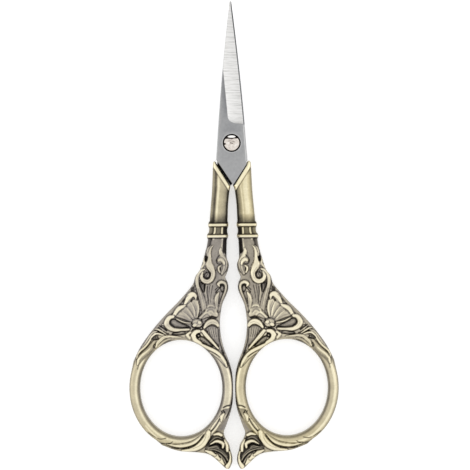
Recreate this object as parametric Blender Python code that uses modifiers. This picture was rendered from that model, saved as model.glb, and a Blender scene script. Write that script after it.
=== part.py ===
"""Embroidery scissors with cast ornamental handles, modelled closed and lying flat.

Lengths are in metres.  X runs across the scissors, Y from the finger rings to the
points, and Z up from the surface they lie on.  The origin lies under the middle of
the whole outline.  Each half is first drawn round the pivot axis: the front half
holds the upper blade and the right-hand handle, and the rear half is the same
shapes turned half a turn about the long axis.
"""

import math

import bmesh
import bpy
from mathutils import Matrix, Vector

MM = 0.001

# Blades
BLADE_REACH = 34.9 * MM
BLADE_THICKNESS = 1.55 * MM
BLADE_GAP = 0.3 * MM
TIP_HALF_WIDTH = 0.22 * MM
SHOULDER_HALF_WIDTH = 3.85 * MM
SPINE_BELLY = 0.3
EDGE_STEP = 0.32 * MM
EDGE_BREAK = 0.15 * MM
EDGE_AIM_SHARE = 0.6

# Hollow grinding
GRIND_WHEEL_RADIUS = 24.0 * MM
GRIND_SHOULDER_RADIUS = 2.8 * MM
GRIND_WIDTH = 3.7 * MM
GRIND_START = 4.7 * MM
EDGE_THICKNESS = 0.3 * MM
INNER_WHEEL_RADIUS = 12.0 * MM
INNER_HOLLOW_DEPTH = 0.1 * MM
INNER_HOLLOW_START = 6.0 * MM

# Joint between blade and handle
RIM_DISTANCE = 5.98 * MM
RIM_TILT = math.radians(33.2)
RIM_WIDTH = 0.8 * MM
SEAT_GAP = 0.25 * MM
FREE_GAP = 0.55 * MM
TANG_LENGTH = 12.0 * MM
TANG_WIDTH = 1.7 * MM
TANG_THICKNESS = 1.1 * MM
TANG_CLEARANCE = 0.15 * MM
TANG_LIFT_SHARE = 0.04
TANG_BEVEL_SHARE = 0.5
TANG_ROOT_OVERLAP = 2

# Pivot screw
SCREW_HEAD_DIAMETER = 4.3 * MM
SCREW_HEAD_HEIGHT = 0.8 * MM
SCREW_CROWN = 0.2 * MM
CROWN_WIDTH_SHARE = 0.92
CROWN_DROP_SHARE = 0.8
LIP_DROP_SHARE = 0.5
SCREW_SHANK_DIAMETER = 2.6 * MM
SCREW_SLOT_WIDTH = 0.7 * MM
SCREW_SLOT_DEPTH = 0.45 * MM
SCREW_SLOT_ANGLE = math.radians(-14.0)
HEAD_SIDE_GAP = 0.25 * MM
HEAD_SEAT_GAP = 0.1 * MM
SHANK_CLEARANCE = 0.15 * MM
SHANK_END_RECESS = 0.1 * MM

# Handles
HANDLE_THICKNESS = 4.2 * MM
NECK_THICKNESS = 3.8 * MM
NECK_WIDTH = 4.3 * MM
NECK_FOOT_WIDTH = 5.0 * MM
NECK_ROUNDING = 1.25 * MM
NECK_TOP_X = 2.45 * MM
NECK_FOOT_X = 3.75 * MM
NECK_FOOT_DROP = 23.4 * MM
BEAD_SPACING = 3.0 * MM
BEAD_WIDTH = 1.1 * MM
BEAD_PROUD = 0.15 * MM
NECK_TONGUE = 6.5 * MM
WEB_THICKNESS = 2.2 * MM
RELIEF_HEIGHT = 2.0 * MM
RELIEF_STEP = 0.003 * MM

# Finger rings
RING_HOLE_WIDTH = 20.15 * MM
RING_HOLE_HEIGHT = 23.7 * MM
RING_BAND = 2.65 * MM
RING_FLAT = 1.0 * MM
RING_DROP = 36.65 * MM
RING_SPACING = 0.5 * MM

# Ornament
BOSS_ANGLE = math.radians(104.5)
BOSS_LIFT = 1.75 * MM
BOSS_RADIUS = 1.25 * MM
FAN_PETALS = 5
FAN_FIRST_ANGLE = math.radians(88.0)
FAN_SWEEP = math.radians(88.0)
FAN_LENGTH = 5.2 * MM
FAN_PETAL_RADIUS = 1.15 * MM
FINIAL_ANGLE = math.radians(241.0)
FINIAL_LIFT = 2.0 * MM

# Finish of the flat curves and turned pieces
BLADE_STEPS = 9
NECK_STEPS = 6
CROWN_STEPS = 4
BOSS_SIDES = 14
BOSS_ROWS = 8
STROKE_SIDES = 2
STROKE_STEPS = 2
RING_STEPS = 48
TURN_STEPS = 32
WHEEL_STEPS = 288
FILLET_STEPS = 8
WELD = 0.001 * MM
SHARP_ANGLE = math.radians(32.0)

# Heights in the stack of blades
MID_Z = HANDLE_THICKNESS / 2
FRONT_Z = MID_Z + BLADE_GAP / 2 + BLADE_THICKNESS / 2
FRONT_TOP = FRONT_Z + BLADE_THICKNESS / 2
FRONT_BOTTOM = FRONT_Z - BLADE_THICKNESS / 2
REAR_BACK = 2 * MID_Z - FRONT_TOP

# Places that follow from the sizes
RIM_NORMAL = Vector((math.cos(RIM_TILT), -math.sin(RIM_TILT)))
RIM_ALONG = Vector((math.sin(RIM_TILT), math.cos(RIM_TILT)))
FREE_DISTANCE = RIM_DISTANCE - FREE_GAP
SEAT_DISTANCE = RIM_DISTANCE - SEAT_GAP
NECK_FOOT = Vector((NECK_FOOT_X, -NECK_FOOT_DROP))
RING_HALF_X = (RING_HOLE_WIDTH + RING_BAND) / 2
RING_HALF_Y = (RING_HOLE_HEIGHT + RING_BAND) / 2
RING_CENTRE = Vector((RING_SPACING / 2 + RING_HALF_X + RING_BAND / 2,
                      -NECK_FOOT_DROP - RING_DROP))
HEAD_RADIUS = SCREW_HEAD_DIAMETER / 2
SHANK_RADIUS = SCREW_SHANK_DIAMETER / 2


def clear_scene():
    """Remove everything that the file starts with."""
    for thing in list(bpy.data.objects):
        bpy.data.objects.remove(thing, do_unlink=True)


def new_collection(name):
    """A collection linked to the scene."""
    group = bpy.data.collections.new(name)
    bpy.context.scene.collection.children.link(group)
    return group


def material(name, colour, metallic, roughness):
    """A plain Principled finish."""
    finish = bpy.data.materials.new(name)
    finish.use_nodes = True
    shader = finish.node_tree.nodes["Principled BSDF"]
    shader.inputs["Base Color"].default_value = (*colour, 1.0)
    shader.inputs["Metallic"].default_value = metallic
    shader.inputs["Roughness"].default_value = roughness
    return finish


def place(name, mesh, group):
    """An object for a mesh, in one collection."""
    thing = bpy.data.objects.new(name, mesh)
    group.objects.link(thing)
    return thing


def as_mesh(thing):
    """Turn a curve object, or one with modifiers, into a welded mesh in its own place."""
    bpy.context.view_layer.update()
    graph = bpy.context.evaluated_depsgraph_get()
    mesh = bpy.data.meshes.new_from_object(thing.evaluated_get(graph))
    mesh.transform(thing.matrix_world)
    work = bmesh.new()
    work.from_mesh(mesh)
    bmesh.ops.remove_doubles(work, verts=work.verts, dist=WELD)
    bmesh.ops.recalc_face_normals(work, faces=work.faces)
    work.to_mesh(mesh)
    work.free()
    bpy.data.objects.remove(thing, do_unlink=True)
    return mesh


def cutter(name, mesh, group):
    """A helper solid that only cuts or joins."""
    thing = place(name, mesh, group)
    thing.hide_render = True
    thing.display_type = "WIRE"
    return thing


def combine(thing, other, operation):
    """Join or cut one solid with another, exactly."""
    step = thing.modifiers.new(other.name, "BOOLEAN")
    step.operation = operation
    step.solver = "EXACT"
    step.object = other


def flat_outline(name, points, thickness, rounding, steps, group):
    """A closed flat outline given its thickness, with its edges rounded inwards."""
    curve = bpy.data.curves.new(name, "CURVE")
    curve.dimensions = "2D"
    curve.fill_mode = "BOTH"
    curve.extrude = thickness / 2 - rounding
    curve.bevel_depth = rounding
    curve.bevel_resolution = steps
    curve.offset = -rounding
    line = curve.splines.new("POLY")
    line.points.add(len(points) - 1)
    for knot, (x, y) in zip(line.points, points):
        knot.co = (x, y, 0.0, 1.0)
    line.use_cyclic_u = True
    return as_mesh(place(name, curve, group))


def stroke(name, knots, height, group):
    """A tapered swelling line, as a chased scroll or leaf stands out of the casting.

    Each knot is (x, y, radius).  The round section is stretched in Z until the
    widest knot stands the given height above and below the middle plane.
    """
    curve = bpy.data.curves.new(name, "CURVE")
    curve.dimensions = "3D"
    curve.bevel_depth = 1.0
    curve.bevel_resolution = STROKE_SIDES
    curve.resolution_u = STROKE_STEPS
    curve.use_fill_caps = True
    line = curve.splines.new("BEZIER")
    line.bezier_points.add(len(knots) - 1)
    for knot, (x, y, radius) in zip(line.bezier_points, knots):
        knot.co = (x, y, 0.0)
        knot.radius = radius
        knot.handle_left_type = "AUTO"
        knot.handle_right_type = "AUTO"
    mesh = as_mesh(place(name, curve, group))
    widest = max(radius for _, _, radius in knots)
    mesh.transform(Matrix.Diagonal((1.0, 1.0, height / widest, 1.0)))
    mesh.transform(Matrix.Translation((0.0, 0.0, MID_Z)))
    return mesh


def turned(name, profile, steps, group):
    """A profile of (radius, height) points turned about Z, its first and last on the axis."""
    mesh = bpy.data.meshes.new(name)
    edges = [(i, i + 1) for i in range(len(profile) - 1)]
    mesh.from_pydata([(r, 0.0, z) for r, z in profile], edges, [])
    thing = place(name, mesh, group)
    spin = thing.modifiers.new("turn", "SCREW")
    spin.axis = "Z"
    spin.angle = math.tau
    spin.steps = steps
    spin.render_steps = steps
    spin.use_merge_vertices = True
    spin.merge_threshold = WELD
    return as_mesh(thing)


def spine_half_width(y):
    """Half width of the blade pair at a height above the pivot, swelling a little."""
    t = (BLADE_REACH - y) / (BLADE_REACH + SHOULDER_DROP)
    share = t + SPINE_BELLY * t * (1.0 - t)
    return TIP_HALF_WIDTH + (SHOULDER_HALF_WIDTH - TIP_HALF_WIDTH) * share


def slanted_edge(distance, x):
    """Height at which a heel edge, lying along the rim at this distance from the pivot, passes x."""
    return (distance - RIM_NORMAL.x * x) / RIM_NORMAL.y


SHOULDER_DROP = -slanted_edge(FREE_DISTANCE, SHOULDER_HALF_WIDTH)


def blade_outline():
    """The blank: spine on the left, cutting edge on the right, and a pointed heel."""
    rise = BLADE_REACH + SHOULDER_DROP
    heights = [-SHOULDER_DROP + rise * i / BLADE_STEPS for i in range(BLADE_STEPS + 1)]
    spine = [(-spine_half_width(y), y) for y in heights]
    edge_top = heights[:0:-1]
    edge = [(spine_half_width(y) - EDGE_STEP, y) for y in edge_top[1:]]
    tip = [(TIP_HALF_WIDTH - EDGE_STEP / 2, BLADE_REACH)]
    corner_x = SHOULDER_HALF_WIDTH - EDGE_STEP
    corner = [(corner_x, slanted_edge(SEAT_DISTANCE, corner_x))]
    heel_x = (SEAT_DISTANCE - FREE_DISTANCE) / (2 * RIM_NORMAL.x)
    heel = [(heel_x, slanted_edge(SEAT_DISTANCE, heel_x))]
    return spine + tip + edge + corner + heel


def tang_line():
    """Start, end and side direction of the tang, along the neck's middle."""
    top = Vector((NECK_TOP_X, -RIM_DISTANCE))
    along = (NECK_FOOT - top).normalized()
    start = top - along * RIM_WIDTH * TANG_ROOT_OVERLAP
    return start, top + along * TANG_LENGTH, Vector((-along.y, along.x))


def tang_mesh(name, clearance, group):
    """The tang's bar, or its socket when a clearance is given."""
    start, end, side = tang_line()
    along = (end - start).normalized()
    half = TANG_WIDTH / 2 + clearance
    tip = end + along * clearance
    bevel = half * TANG_BEVEL_SHARE
    points = [start + side * half, tip + side * half - along * bevel,
              tip + side * (half - bevel), tip - side * (half - bevel),
              tip - side * half - along * bevel, start - side * half]
    mesh = flat_outline(name, [tuple(p) for p in points],
                        TANG_THICKNESS + 2 * clearance, 0.0, 0, group)
    base = FRONT_BOTTOM + BLADE_THICKNESS * TANG_LIFT_SHARE
    mesh.transform(Matrix.Translation((0.0, 0.0, base + TANG_THICKNESS / 2)))
    return mesh


def break_upper_edges(mesh):
    """Chamfer the rim of the outer face and leave the inner face sharp."""
    work = bmesh.new()
    work.from_mesh(mesh)
    top = max(v.co.z for v in work.verts)
    rim = [e for e in work.edges
           if e.calc_face_angle(0.0) > 1.0 and min(v.co.z for v in e.verts) > top - WELD]
    bmesh.ops.bevel(work, geom=rim, offset=EDGE_BREAK, segments=1, affect="EDGES")
    work.to_mesh(mesh)
    work.free()


def edge_angle():
    """Lean of the cutting edge from the long axis."""
    low = spine_half_width(GRIND_START)
    high = spine_half_width(BLADE_REACH * EDGE_AIM_SHARE)
    return math.atan2(low - high, BLADE_REACH * EDGE_AIM_SHARE - GRIND_START)


def grinding_wheel(group):
    """The wheel whose face leaves the hollow bevel, with a rounded shoulder at its end.

    The wheel's axis lies along the cutting edge.  Its face passes through the grind
    line on the outer face and through the edge at the edge's thickness.
    """
    depth = BLADE_THICKNESS - EDGE_THICKNESS
    chord = math.hypot(GRIND_WIDTH, depth)
    slope = math.atan2(depth, GRIND_WIDTH)
    rise = math.sqrt(GRIND_WHEEL_RADIUS ** 2 - (chord / 2) ** 2)
    length = BLADE_REACH * 1.5
    shoulder = []
    for i in range(FILLET_STEPS + 1):
        turn = math.pi / 2 * i / FILLET_STEPS
        shoulder.append((GRIND_WHEEL_RADIUS - GRIND_SHOULDER_RADIUS * (1 - math.cos(turn)),
                         GRIND_SHOULDER_RADIUS * (1 - math.sin(turn))))
    profile = [(0.0, length), (GRIND_WHEEL_RADIUS, length)] + shoulder + [(0.0, 0.0)]
    mesh = turned("grinding_wheel", profile, WHEEL_STEPS, group)
    lean = edge_angle()
    edge_x = spine_half_width(GRIND_START) - EDGE_STEP
    centre_x = edge_x - GRIND_WIDTH / 2 + rise * math.sin(slope)
    centre_z = FRONT_BOTTOM + EDGE_THICKNESS + depth / 2 + rise * math.cos(slope)
    along_y = Matrix.Rotation(-math.pi / 2, 4, "X")
    spot = Matrix.Translation((centre_x, GRIND_START, centre_z))
    mesh.transform(spot @ Matrix.Rotation(lean, 4, "Z") @ along_y)
    return cutter("grinding_wheel", mesh, group)


def inner_wheel(group):
    """The small wheel that hollows the inner face, so that only the edges touch."""
    length = BLADE_REACH - INNER_HOLLOW_START
    profile = [(0.0, length), (INNER_WHEEL_RADIUS, length), (INNER_WHEEL_RADIUS, 0.0), (0.0, 0.0)]
    mesh = turned("inner_wheel", profile, WHEEL_STEPS, group)
    dip = math.atan2(INNER_HOLLOW_DEPTH, length)
    along_y = Matrix.Rotation(-math.pi / 2 - dip, 4, "X")
    spot = Matrix.Translation((0.0, INNER_HOLLOW_START,
                               FRONT_BOTTOM + INNER_HOLLOW_DEPTH - INNER_WHEEL_RADIUS))
    mesh.transform(spot @ along_y)
    return cutter("inner_wheel", mesh, group)


def round_cutter(name, radius, low, high, group):
    """A cylinder on the pivot axis."""
    middle = (low + high) / 2
    work = bmesh.new()
    bmesh.ops.create_cone(work, cap_ends=True, segments=TURN_STEPS, radius1=radius,
                          radius2=radius, depth=high - low,
                          matrix=Matrix.Translation((0.0, 0.0, middle)))
    mesh = bpy.data.meshes.new(name)
    work.to_mesh(mesh)
    work.free()
    return cutter(name, mesh, group)


def blade_mesh(name, headed, helpers):
    """One blade with its tang, both grinds and the bore, in the upper place."""
    blank = flat_outline(name, blade_outline(), BLADE_THICKNESS, 0.0, 0, helpers)
    blank.transform(Matrix.Translation((0.0, 0.0, FRONT_Z)))
    break_upper_edges(blank)
    thing = place(name, blank, helpers)
    combine(thing, cutter(name + "_tang", tang_mesh(name + "_tang", 0.0, helpers), helpers), "UNION")
    combine(thing, grinding_wheel(helpers), "DIFFERENCE")
    combine(thing, inner_wheel(helpers), "DIFFERENCE")
    bore = round_cutter("bore", SHANK_RADIUS + SHANK_CLEARANCE, 0.0, HANDLE_THICKNESS, helpers)
    combine(thing, bore, "DIFFERENCE")
    if headed:
        floor = FRONT_TOP + SCREW_CROWN - SCREW_HEAD_HEIGHT - HEAD_SEAT_GAP
        seat = round_cutter("head_seat", HEAD_RADIUS + HEAD_SIDE_GAP, floor,
                            HANDLE_THICKNESS * 2, helpers)
        combine(thing, seat, "DIFFERENCE")
    return as_mesh(thing)


def screw_mesh(helpers):
    """The pivot screw: crowned slotted head and a shank down to the rear face."""
    top = FRONT_TOP + SCREW_CROWN
    under = top - SCREW_HEAD_HEIGHT
    end = REAR_BACK + SHANK_END_RECESS
    crown = []
    for i in range(CROWN_STEPS + 1):
        share = i / CROWN_STEPS
        drop = SCREW_CROWN * CROWN_DROP_SHARE * share ** 2
        crown.append((HEAD_RADIUS * CROWN_WIDTH_SHARE * share, top - drop))
    lip = top - SCREW_CROWN
    profile = crown + [(HEAD_RADIUS, lip - SCREW_CROWN * LIP_DROP_SHARE), (HEAD_RADIUS, under),
                       (SHANK_RADIUS, under), (SHANK_RADIUS, end + SHANK_CLEARANCE),
                       (SHANK_RADIUS - SHANK_CLEARANCE, end), (0.0, end)]
    thing = place("pivot_screw", turned("pivot_screw", profile, TURN_STEPS, helpers), helpers)
    work = bmesh.new()
    size = Matrix.Diagonal((SCREW_HEAD_DIAMETER * 1.2, SCREW_SLOT_WIDTH, SCREW_SLOT_DEPTH * 2, 1.0))
    spot = Matrix.Translation((0.0, 0.0, top))
    turn = Matrix.Rotation(SCREW_SLOT_ANGLE, 4, "Z")
    bmesh.ops.create_cube(work, size=1.0, matrix=spot @ turn @ size)
    slot = bpy.data.meshes.new("slot")
    work.to_mesh(slot)
    work.free()
    combine(thing, cutter("slot", slot, helpers), "DIFFERENCE")
    return as_mesh(thing)


def ring_point(angle, lift):
    """A point that stands outwards from the ring's middle line."""
    across = math.cos(angle)
    up = math.sin(angle)
    flat = Vector((across / RING_HALF_X, up / RING_HALF_Y)).normalized()
    return RING_CENTRE + Vector((RING_HALF_X * across, RING_HALF_Y * up)) + flat * lift


def ring_mesh(helpers):
    """The finger ring: a flat-topped round section carried round an ellipse."""
    half = RING_BAND / 2
    deep = HANDLE_THICKNESS / 2
    flat = RING_FLAT / 2
    quarter = [(half, 0.0), (half * 0.95, deep * 0.45), (half * 0.76, deep * 0.83), (flat, deep)]
    back = [(-x, y) for x, y in reversed(quarter)]
    upper = quarter + back
    lower = [(x, -y) for x, y in reversed(upper[1:-1])]
    profile = bpy.data.curves.new("ring_section", "CURVE")
    line = profile.splines.new("POLY")
    line.points.add(len(upper + lower) - 1)
    for knot, (x, y) in zip(line.points, upper + lower):
        knot.co = (x, y, 0.0, 1.0)
    line.use_cyclic_u = True
    section = cutter("ring_section", profile, helpers)
    path = bpy.data.curves.new("ring", "CURVE")
    path.dimensions = "3D"
    path.twist_mode = "Z_UP"
    path.bevel_mode = "OBJECT"
    path.bevel_object = section
    round_line = path.splines.new("POLY")
    round_line.points.add(RING_STEPS - 1)
    for i, knot in enumerate(round_line.points):
        spot = ring_point(math.tau * i / RING_STEPS, 0.0)
        knot.co = (spot.x, spot.y, MID_Z, 1.0)
    round_line.use_cyclic_u = True
    mesh = as_mesh(place("ring", path, helpers))
    bpy.data.objects.remove(section, do_unlink=True)
    return mesh


def neck_mesh(helpers):
    """The plain bar between the blade and the ornament, drawn past the rim and cut there.

    Below the beads it narrows to a tongue that dies away between the leaves.
    """
    top = Vector((NECK_TOP_X, -RIM_DISTANCE * 0.3))
    outer = []
    inner = []
    for i in range(NECK_STEPS + 1):
        share = i / NECK_STEPS
        middle = top.lerp(NECK_FOOT, share)
        half = (NECK_WIDTH + (NECK_FOOT_WIDTH - NECK_WIDTH) * share ** 2) / 2
        outer.append((middle.x + half, middle.y))
        inner.append((middle.x - half, middle.y))
    outer[0] = (outer[0][0], -RIM_DISTANCE * 0.75)
    for share, width in ((0.35, 0.98), (0.75, 0.84), (1.0, 0.68)):
        y = NECK_FOOT.y - NECK_TONGUE * share
        outer.append((NECK_FOOT.x + NECK_FOOT_WIDTH / 2 * width, y))
        inner.append((NECK_FOOT.x - NECK_FOOT_WIDTH / 2 * width, y))
    mesh = flat_outline("neck", outer + inner[::-1], NECK_THICKNESS, NECK_ROUNDING, 2, helpers)
    mesh.transform(Matrix.Translation((0.0, 0.0, MID_Z)))
    return mesh


def slab_between(name, near, far, reach, thickness, helpers):
    """A slab lying along the rim, between two distances from the pivot axis."""
    corners = [RIM_NORMAL * near + RIM_ALONG * reach[0], RIM_NORMAL * near + RIM_ALONG * reach[1],
               RIM_NORMAL * far + RIM_ALONG * reach[1], RIM_NORMAL * far + RIM_ALONG * reach[0]]
    mesh = flat_outline(name, [tuple(c) for c in corners], thickness, 0.0, 0, helpers)
    mesh.transform(Matrix.Translation((0.0, 0.0, MID_Z)))
    return mesh


def rim_reach():
    """Where the rim's line crosses the neck's outer and inner sides, along the rim."""
    half = NECK_WIDTH / 2
    low = (NECK_TOP_X - half * 0.9 - RIM_NORMAL.x * RIM_DISTANCE) / RIM_ALONG.x
    high = (NECK_TOP_X + half - RIM_NORMAL.x * (RIM_DISTANCE + RIM_WIDTH)) / RIM_ALONG.x
    return low, high


def web_outline():
    """The sheet behind the ornament: down the outer side, round the ring, up the inner side."""
    foot = NECK_FOOT
    boss = boss_centre()
    outer = [foot + Vector((1.9, -1.5)) * MM, foot + Vector((3.3, -5.4)) * MM,
             foot + Vector((5.3, -9.9)) * MM, boss + Vector((1.9, 7.2)) * MM,
             boss + Vector((5.6, 3.8)) * MM, boss + Vector((8.8, 0.5)) * MM,
             ring_point(math.radians(62), RING_BAND), ring_point(math.radians(50), RING_BAND * 0.7)]
    arc = [ring_point(math.radians(a), RING_BAND * 0.1) for a in range(45, 170, 12)]
    inner = [boss + Vector((-7.2, -8.6)) * MM, boss + Vector((-6.0, -4.9)) * MM,
             boss + Vector((-5.4, -1.7)) * MM, boss + Vector((-5.4, 1.4)) * MM,
             foot + Vector((-1.4, -15.6)) * MM, foot + Vector((-1.9, -11.9)) * MM,
             foot + Vector((-1.6, -6.4)) * MM, foot + Vector((-1.9, -1.5)) * MM]
    return [tuple(p) for p in outer + arc + inner]


def boss_centre():
    """Centre of the fan's boss, standing just outside the ring."""
    return ring_point(BOSS_ANGLE, RING_BAND / 2 + BOSS_LIFT)


def moved(base, knots):
    """Knots given in millimetres from a base point, made into real places."""
    return [(base.x + x * MM, base.y + y * MM, r * MM) for x, y, r in knots]


def round_the_ring(knots):
    """Knots given as (degrees round the ring, lift in mm, radius in mm)."""
    places = []
    for degrees, lift, radius in knots:
        spot = ring_point(math.radians(degrees), lift * MM)
        places.append((spot.x, spot.y, radius * MM))
    return places


def scroll_strokes():
    """The leaves and scrolls between the beads and the fan, from the neck's foot."""
    base = NECK_FOOT
    return {
        "outer_leaf": moved(base, [(1.6, -2.3, 0.5), (2.8, -4.6, 0.68), (3.6, -7.1, 0.66),
                                   (4.4, -8.9, 0.45)]),
        "long_scroll": moved(base, [(1.0, -2.3, 0.45), (1.9, -4.2, 0.85), (1.7, -6.8, 0.85),
                                    (1.2, -8.8, 0.7), (1.9, -10.4, 0.75), (3.4, -10.2, 0.6)]),
        "stem": moved(base, [(3.4, -8.1, 0.5), (4.8, -8.6, 0.82), (5.2, -10.4, 0.85),
                             (4.6, -12.8, 0.75), (3.5, -16.1, 0.6)]),
        "inner_leaf": moved(base, [(-0.8, -2.6, 0.45), (-1.5, -5.2, 0.95), (-1.8, -7.2, 0.85),
                                   (-1.3, -9.2, 0.45)]),
        "leaf_lobe": moved(base, [(-1.4, -5.3, 0.5), (-0.2, -5.6, 0.75), (0.3, -7.4, 0.4)]),
        "hook": moved(base, [(-0.1, -11.8, 0.55), (-0.7, -10.6, 0.6), (-1.7, -11.0, 0.65),
                             (-1.7, -13.4, 0.75), (-0.8, -15.6, 0.7), (0.5, -18.0, 0.55)]),
        "tongue": moved(base, [(0.8, -11.5, 0.4), (0.9, -14.4, 0.75), (2.0, -17.6, 0.5)]),
    }


def fan_strokes():
    """The shell: petals spread evenly round the boss, with the wavy lip beyond them."""
    boss = boss_centre()
    strokes = {}
    for i in range(FAN_PETALS):
        angle = FAN_FIRST_ANGLE - FAN_SWEEP * i / (FAN_PETALS - 1)
        way = Vector((math.cos(angle), math.sin(angle)))
        root = boss + way * BOSS_RADIUS * 0.6
        middle = boss + way * FAN_LENGTH * 0.7
        end = boss + way * FAN_LENGTH
        strokes[f"petal_{i + 1}"] = [(root.x, root.y, FAN_PETAL_RADIUS * 0.55),
                                     (middle.x, middle.y, FAN_PETAL_RADIUS),
                                     (end.x, end.y, FAN_PETAL_RADIUS * 0.95)]
    strokes["lip"] = moved(boss, [(0.5, 8.8, 0.55), (2.0, 7.0, 0.8), (4.2, 4.7, 0.85),
                                  (6.3, 2.5, 0.85), (8.4, 0.6, 0.75), (9.6, -1.5, 0.5)])
    strokes["left_petal_upper"] = moved(boss, [(-0.6, 1.3, 0.6), (-2.4, 3.0, 1.1), (-4.1, 3.5, 0.7)])
    strokes["left_petal_lower"] = moved(boss, [(-1.3, -0.5, 0.6), (-3.0, 0.4, 1.0), (-4.6, 0.3, 0.7)])
    strokes["under_leaf"] = moved(boss, [(-1.7, -2.4, 0.6), (1.4, -1.9, 0.7), (4.6, -1.3, 0.7),
                                         (7.2, -0.5, 0.5)])
    strokes["rib"] = moved(boss, [(-1.4, -2.5, 0.6), (-3.5, -4.4, 0.6), (-5.4, -6.2, 0.55)])
    return strokes


def wrap_strokes():
    """Leaves that wrap the ring beside the fan and above the finial."""
    return {
        "inner_wrap": round_the_ring([(118, 0.3, 0.5), (132, 0.3, 0.9), (147, 0.2, 0.9),
                                      (161, 0.1, 0.6)]),
        "outer_wrap": round_the_ring([(86, 0.5, 0.6), (72, 0.6, 1.0), (57, 0.4, 1.1),
                                      (43, 0.1, 0.9), (32, -0.1, 0.6)]),
        "outer_tip": round_the_ring([(78, 2.4, 0.6), (66, 2.5, 1.0), (53, 1.5, 1.05),
                                     (40, 1.0, 1.0), (27, 0.7, 0.9), (16, 0.4, 0.7)]),
        "knot": round_the_ring([(196, 0.2, 1.0), (203, 0.3, 1.3), (210, 0.2, 0.9)]),
        "foot_wrap": round_the_ring([(222, 0.1, 0.9), (238, 0.5, 1.25), (254, 1.0, 1.35),
                                     (272, 0.9, 1.2), (286, 0.3, 0.9)]),
        "foot_leaf": round_the_ring([(282, 0.5, 0.7), (298, 0.4, 1.0), (314, 0.2, 0.7)]),
    }


def finial_root():
    """The point under the ring that the palmette's lobes curl out from."""
    return ring_point(FINIAL_ANGLE, RING_BAND / 2 + FINIAL_LIFT)


def finial_web_outline():
    """The sheet behind the palmette, from inside the ring's band to the tip."""
    root = finial_root()
    shape = [(-1.6, 2.6), (2.2, 1.6), (6.0, 1.2), (5.0, 0.0), (1.0, -0.7), (-0.9, -2.7),
             (-2.5, -4.6), (-4.3, -5.6), (-5.3, -4.4), (-5.0, -1.6), (-4.0, 0.3), (-3.6, 1.5)]
    return [(root.x + x * MM, root.y + y * MM) for x, y in shape]


def finial_strokes():
    """The palmette under the ring: lobes that curl out from one root."""
    root = finial_root()
    return {
        "lobe_1": moved(root, [(-0.6, 1.5, 0.6), (-2.4, 2.0, 0.85), (-3.4, 1.3, 0.6)]),
        "lobe_2": moved(root, [(0.4, 0.1, 0.8), (-2.6, 0.5, 1.05), (-4.4, -1.1, 0.7)]),
        "lobe_3": moved(root, [(0.2, -0.6, 0.6), (-2.8, -1.2, 0.95), (-4.8, -3.4, 0.85),
                               (-4.7, -5.4, 0.6)]),
        "lobe_4": moved(root, [(0.4, -0.6, 0.6), (-1.5, -1.5, 0.85), (-3.0, -3.9, 0.6)]),
        "lobe_5": moved(root, [(0.8, -0.5, 0.6), (-0.5, -1.3, 0.75), (-1.7, -2.9, 0.45)]),
    }


def bead_mesh(index, helpers):
    """One raised band across the neck, counted upwards from the neck's foot."""
    y = NECK_FOOT.y + BEAD_SPACING * index
    share = BEAD_SPACING * index / NECK_FOOT_DROP
    x = NECK_FOOT.x + (NECK_TOP_X - NECK_FOOT.x) * share
    narrowing = (NECK_FOOT_WIDTH - NECK_WIDTH) * share
    half = (NECK_FOOT_WIDTH - narrowing) / 2 + BEAD_PROUD
    deep = BEAD_WIDTH / 2
    corners = [(x - half, y - deep), (x + half, y - deep), (x + half, y + deep), (x - half, y + deep)]
    mesh = flat_outline("bead", corners, HANDLE_THICKNESS, BEAD_WIDTH * 0.4, 2, helpers)
    mesh.transform(Matrix.Translation((0.0, 0.0, MID_Z)))
    return mesh


def ball(name, centre, radius, height, helpers):
    """A rounded boss that stands out on both faces."""
    work = bmesh.new()
    bmesh.ops.create_uvsphere(work, u_segments=BOSS_SIDES, v_segments=BOSS_ROWS, radius=radius)
    mesh = bpy.data.meshes.new(name)
    work.to_mesh(mesh)
    work.free()
    mesh.transform(Matrix.Diagonal((1.0, 1.0, height / radius, 1.0)))
    mesh.transform(Matrix.Translation((centre.x, centre.y, MID_Z)))
    return cutter(name, mesh, helpers)


def handle_mesh(helpers):
    """The right-hand handle, one casting, with the socket that its tang was cast round."""
    thing = place("handle", neck_mesh(helpers), helpers)
    beyond = slab_between("beyond_rim", -RIM_DISTANCE, RIM_DISTANCE,
                          (-HANDLE_THICKNESS * 5, HANDLE_THICKNESS * 5), HANDLE_THICKNESS * 2, helpers)
    combine(thing, cutter("beyond_rim", beyond, helpers), "DIFFERENCE")
    rim = slab_between("rim", RIM_DISTANCE, RIM_DISTANCE + RIM_WIDTH, rim_reach(),
                       HANDLE_THICKNESS, helpers)
    combine(thing, cutter("rim", rim, helpers), "UNION")
    for name, outline in (("web", web_outline()), ("finial_web", finial_web_outline())):
        web = flat_outline(name, outline, WEB_THICKNESS, 0.0, 0, helpers)
        web.transform(Matrix.Translation((0.0, 0.0, MID_Z)))
        combine(thing, cutter(name, web, helpers), "UNION")
    combine(thing, ball("boss", boss_centre(), BOSS_RADIUS, RELIEF_HEIGHT, helpers), "UNION")
    for index in range(2):
        combine(thing, cutter("bead", bead_mesh(index, helpers), helpers), "UNION")
    combine(thing, cutter("ring", ring_mesh(helpers), helpers), "UNION")
    height = RELIEF_HEIGHT - RELIEF_STEP
    for group in (scroll_strokes(), fan_strokes(), wrap_strokes(), finial_strokes()):
        for name, knots in group.items():
            combine(thing, cutter(name, stroke(name, knots, height, helpers), helpers), "UNION")
            height -= RELIEF_STEP
    socket = tang_mesh("socket", TANG_CLEARANCE, helpers)
    combine(thing, cutter("socket", socket, helpers), "DIFFERENCE")
    return as_mesh(thing)


def smooth(mesh):
    """Shade round stretches smooth and keep real edges sharp."""
    mesh.shade_smooth()
    mesh.set_sharp_from_angle(angle=SHARP_ANGLE)


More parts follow.
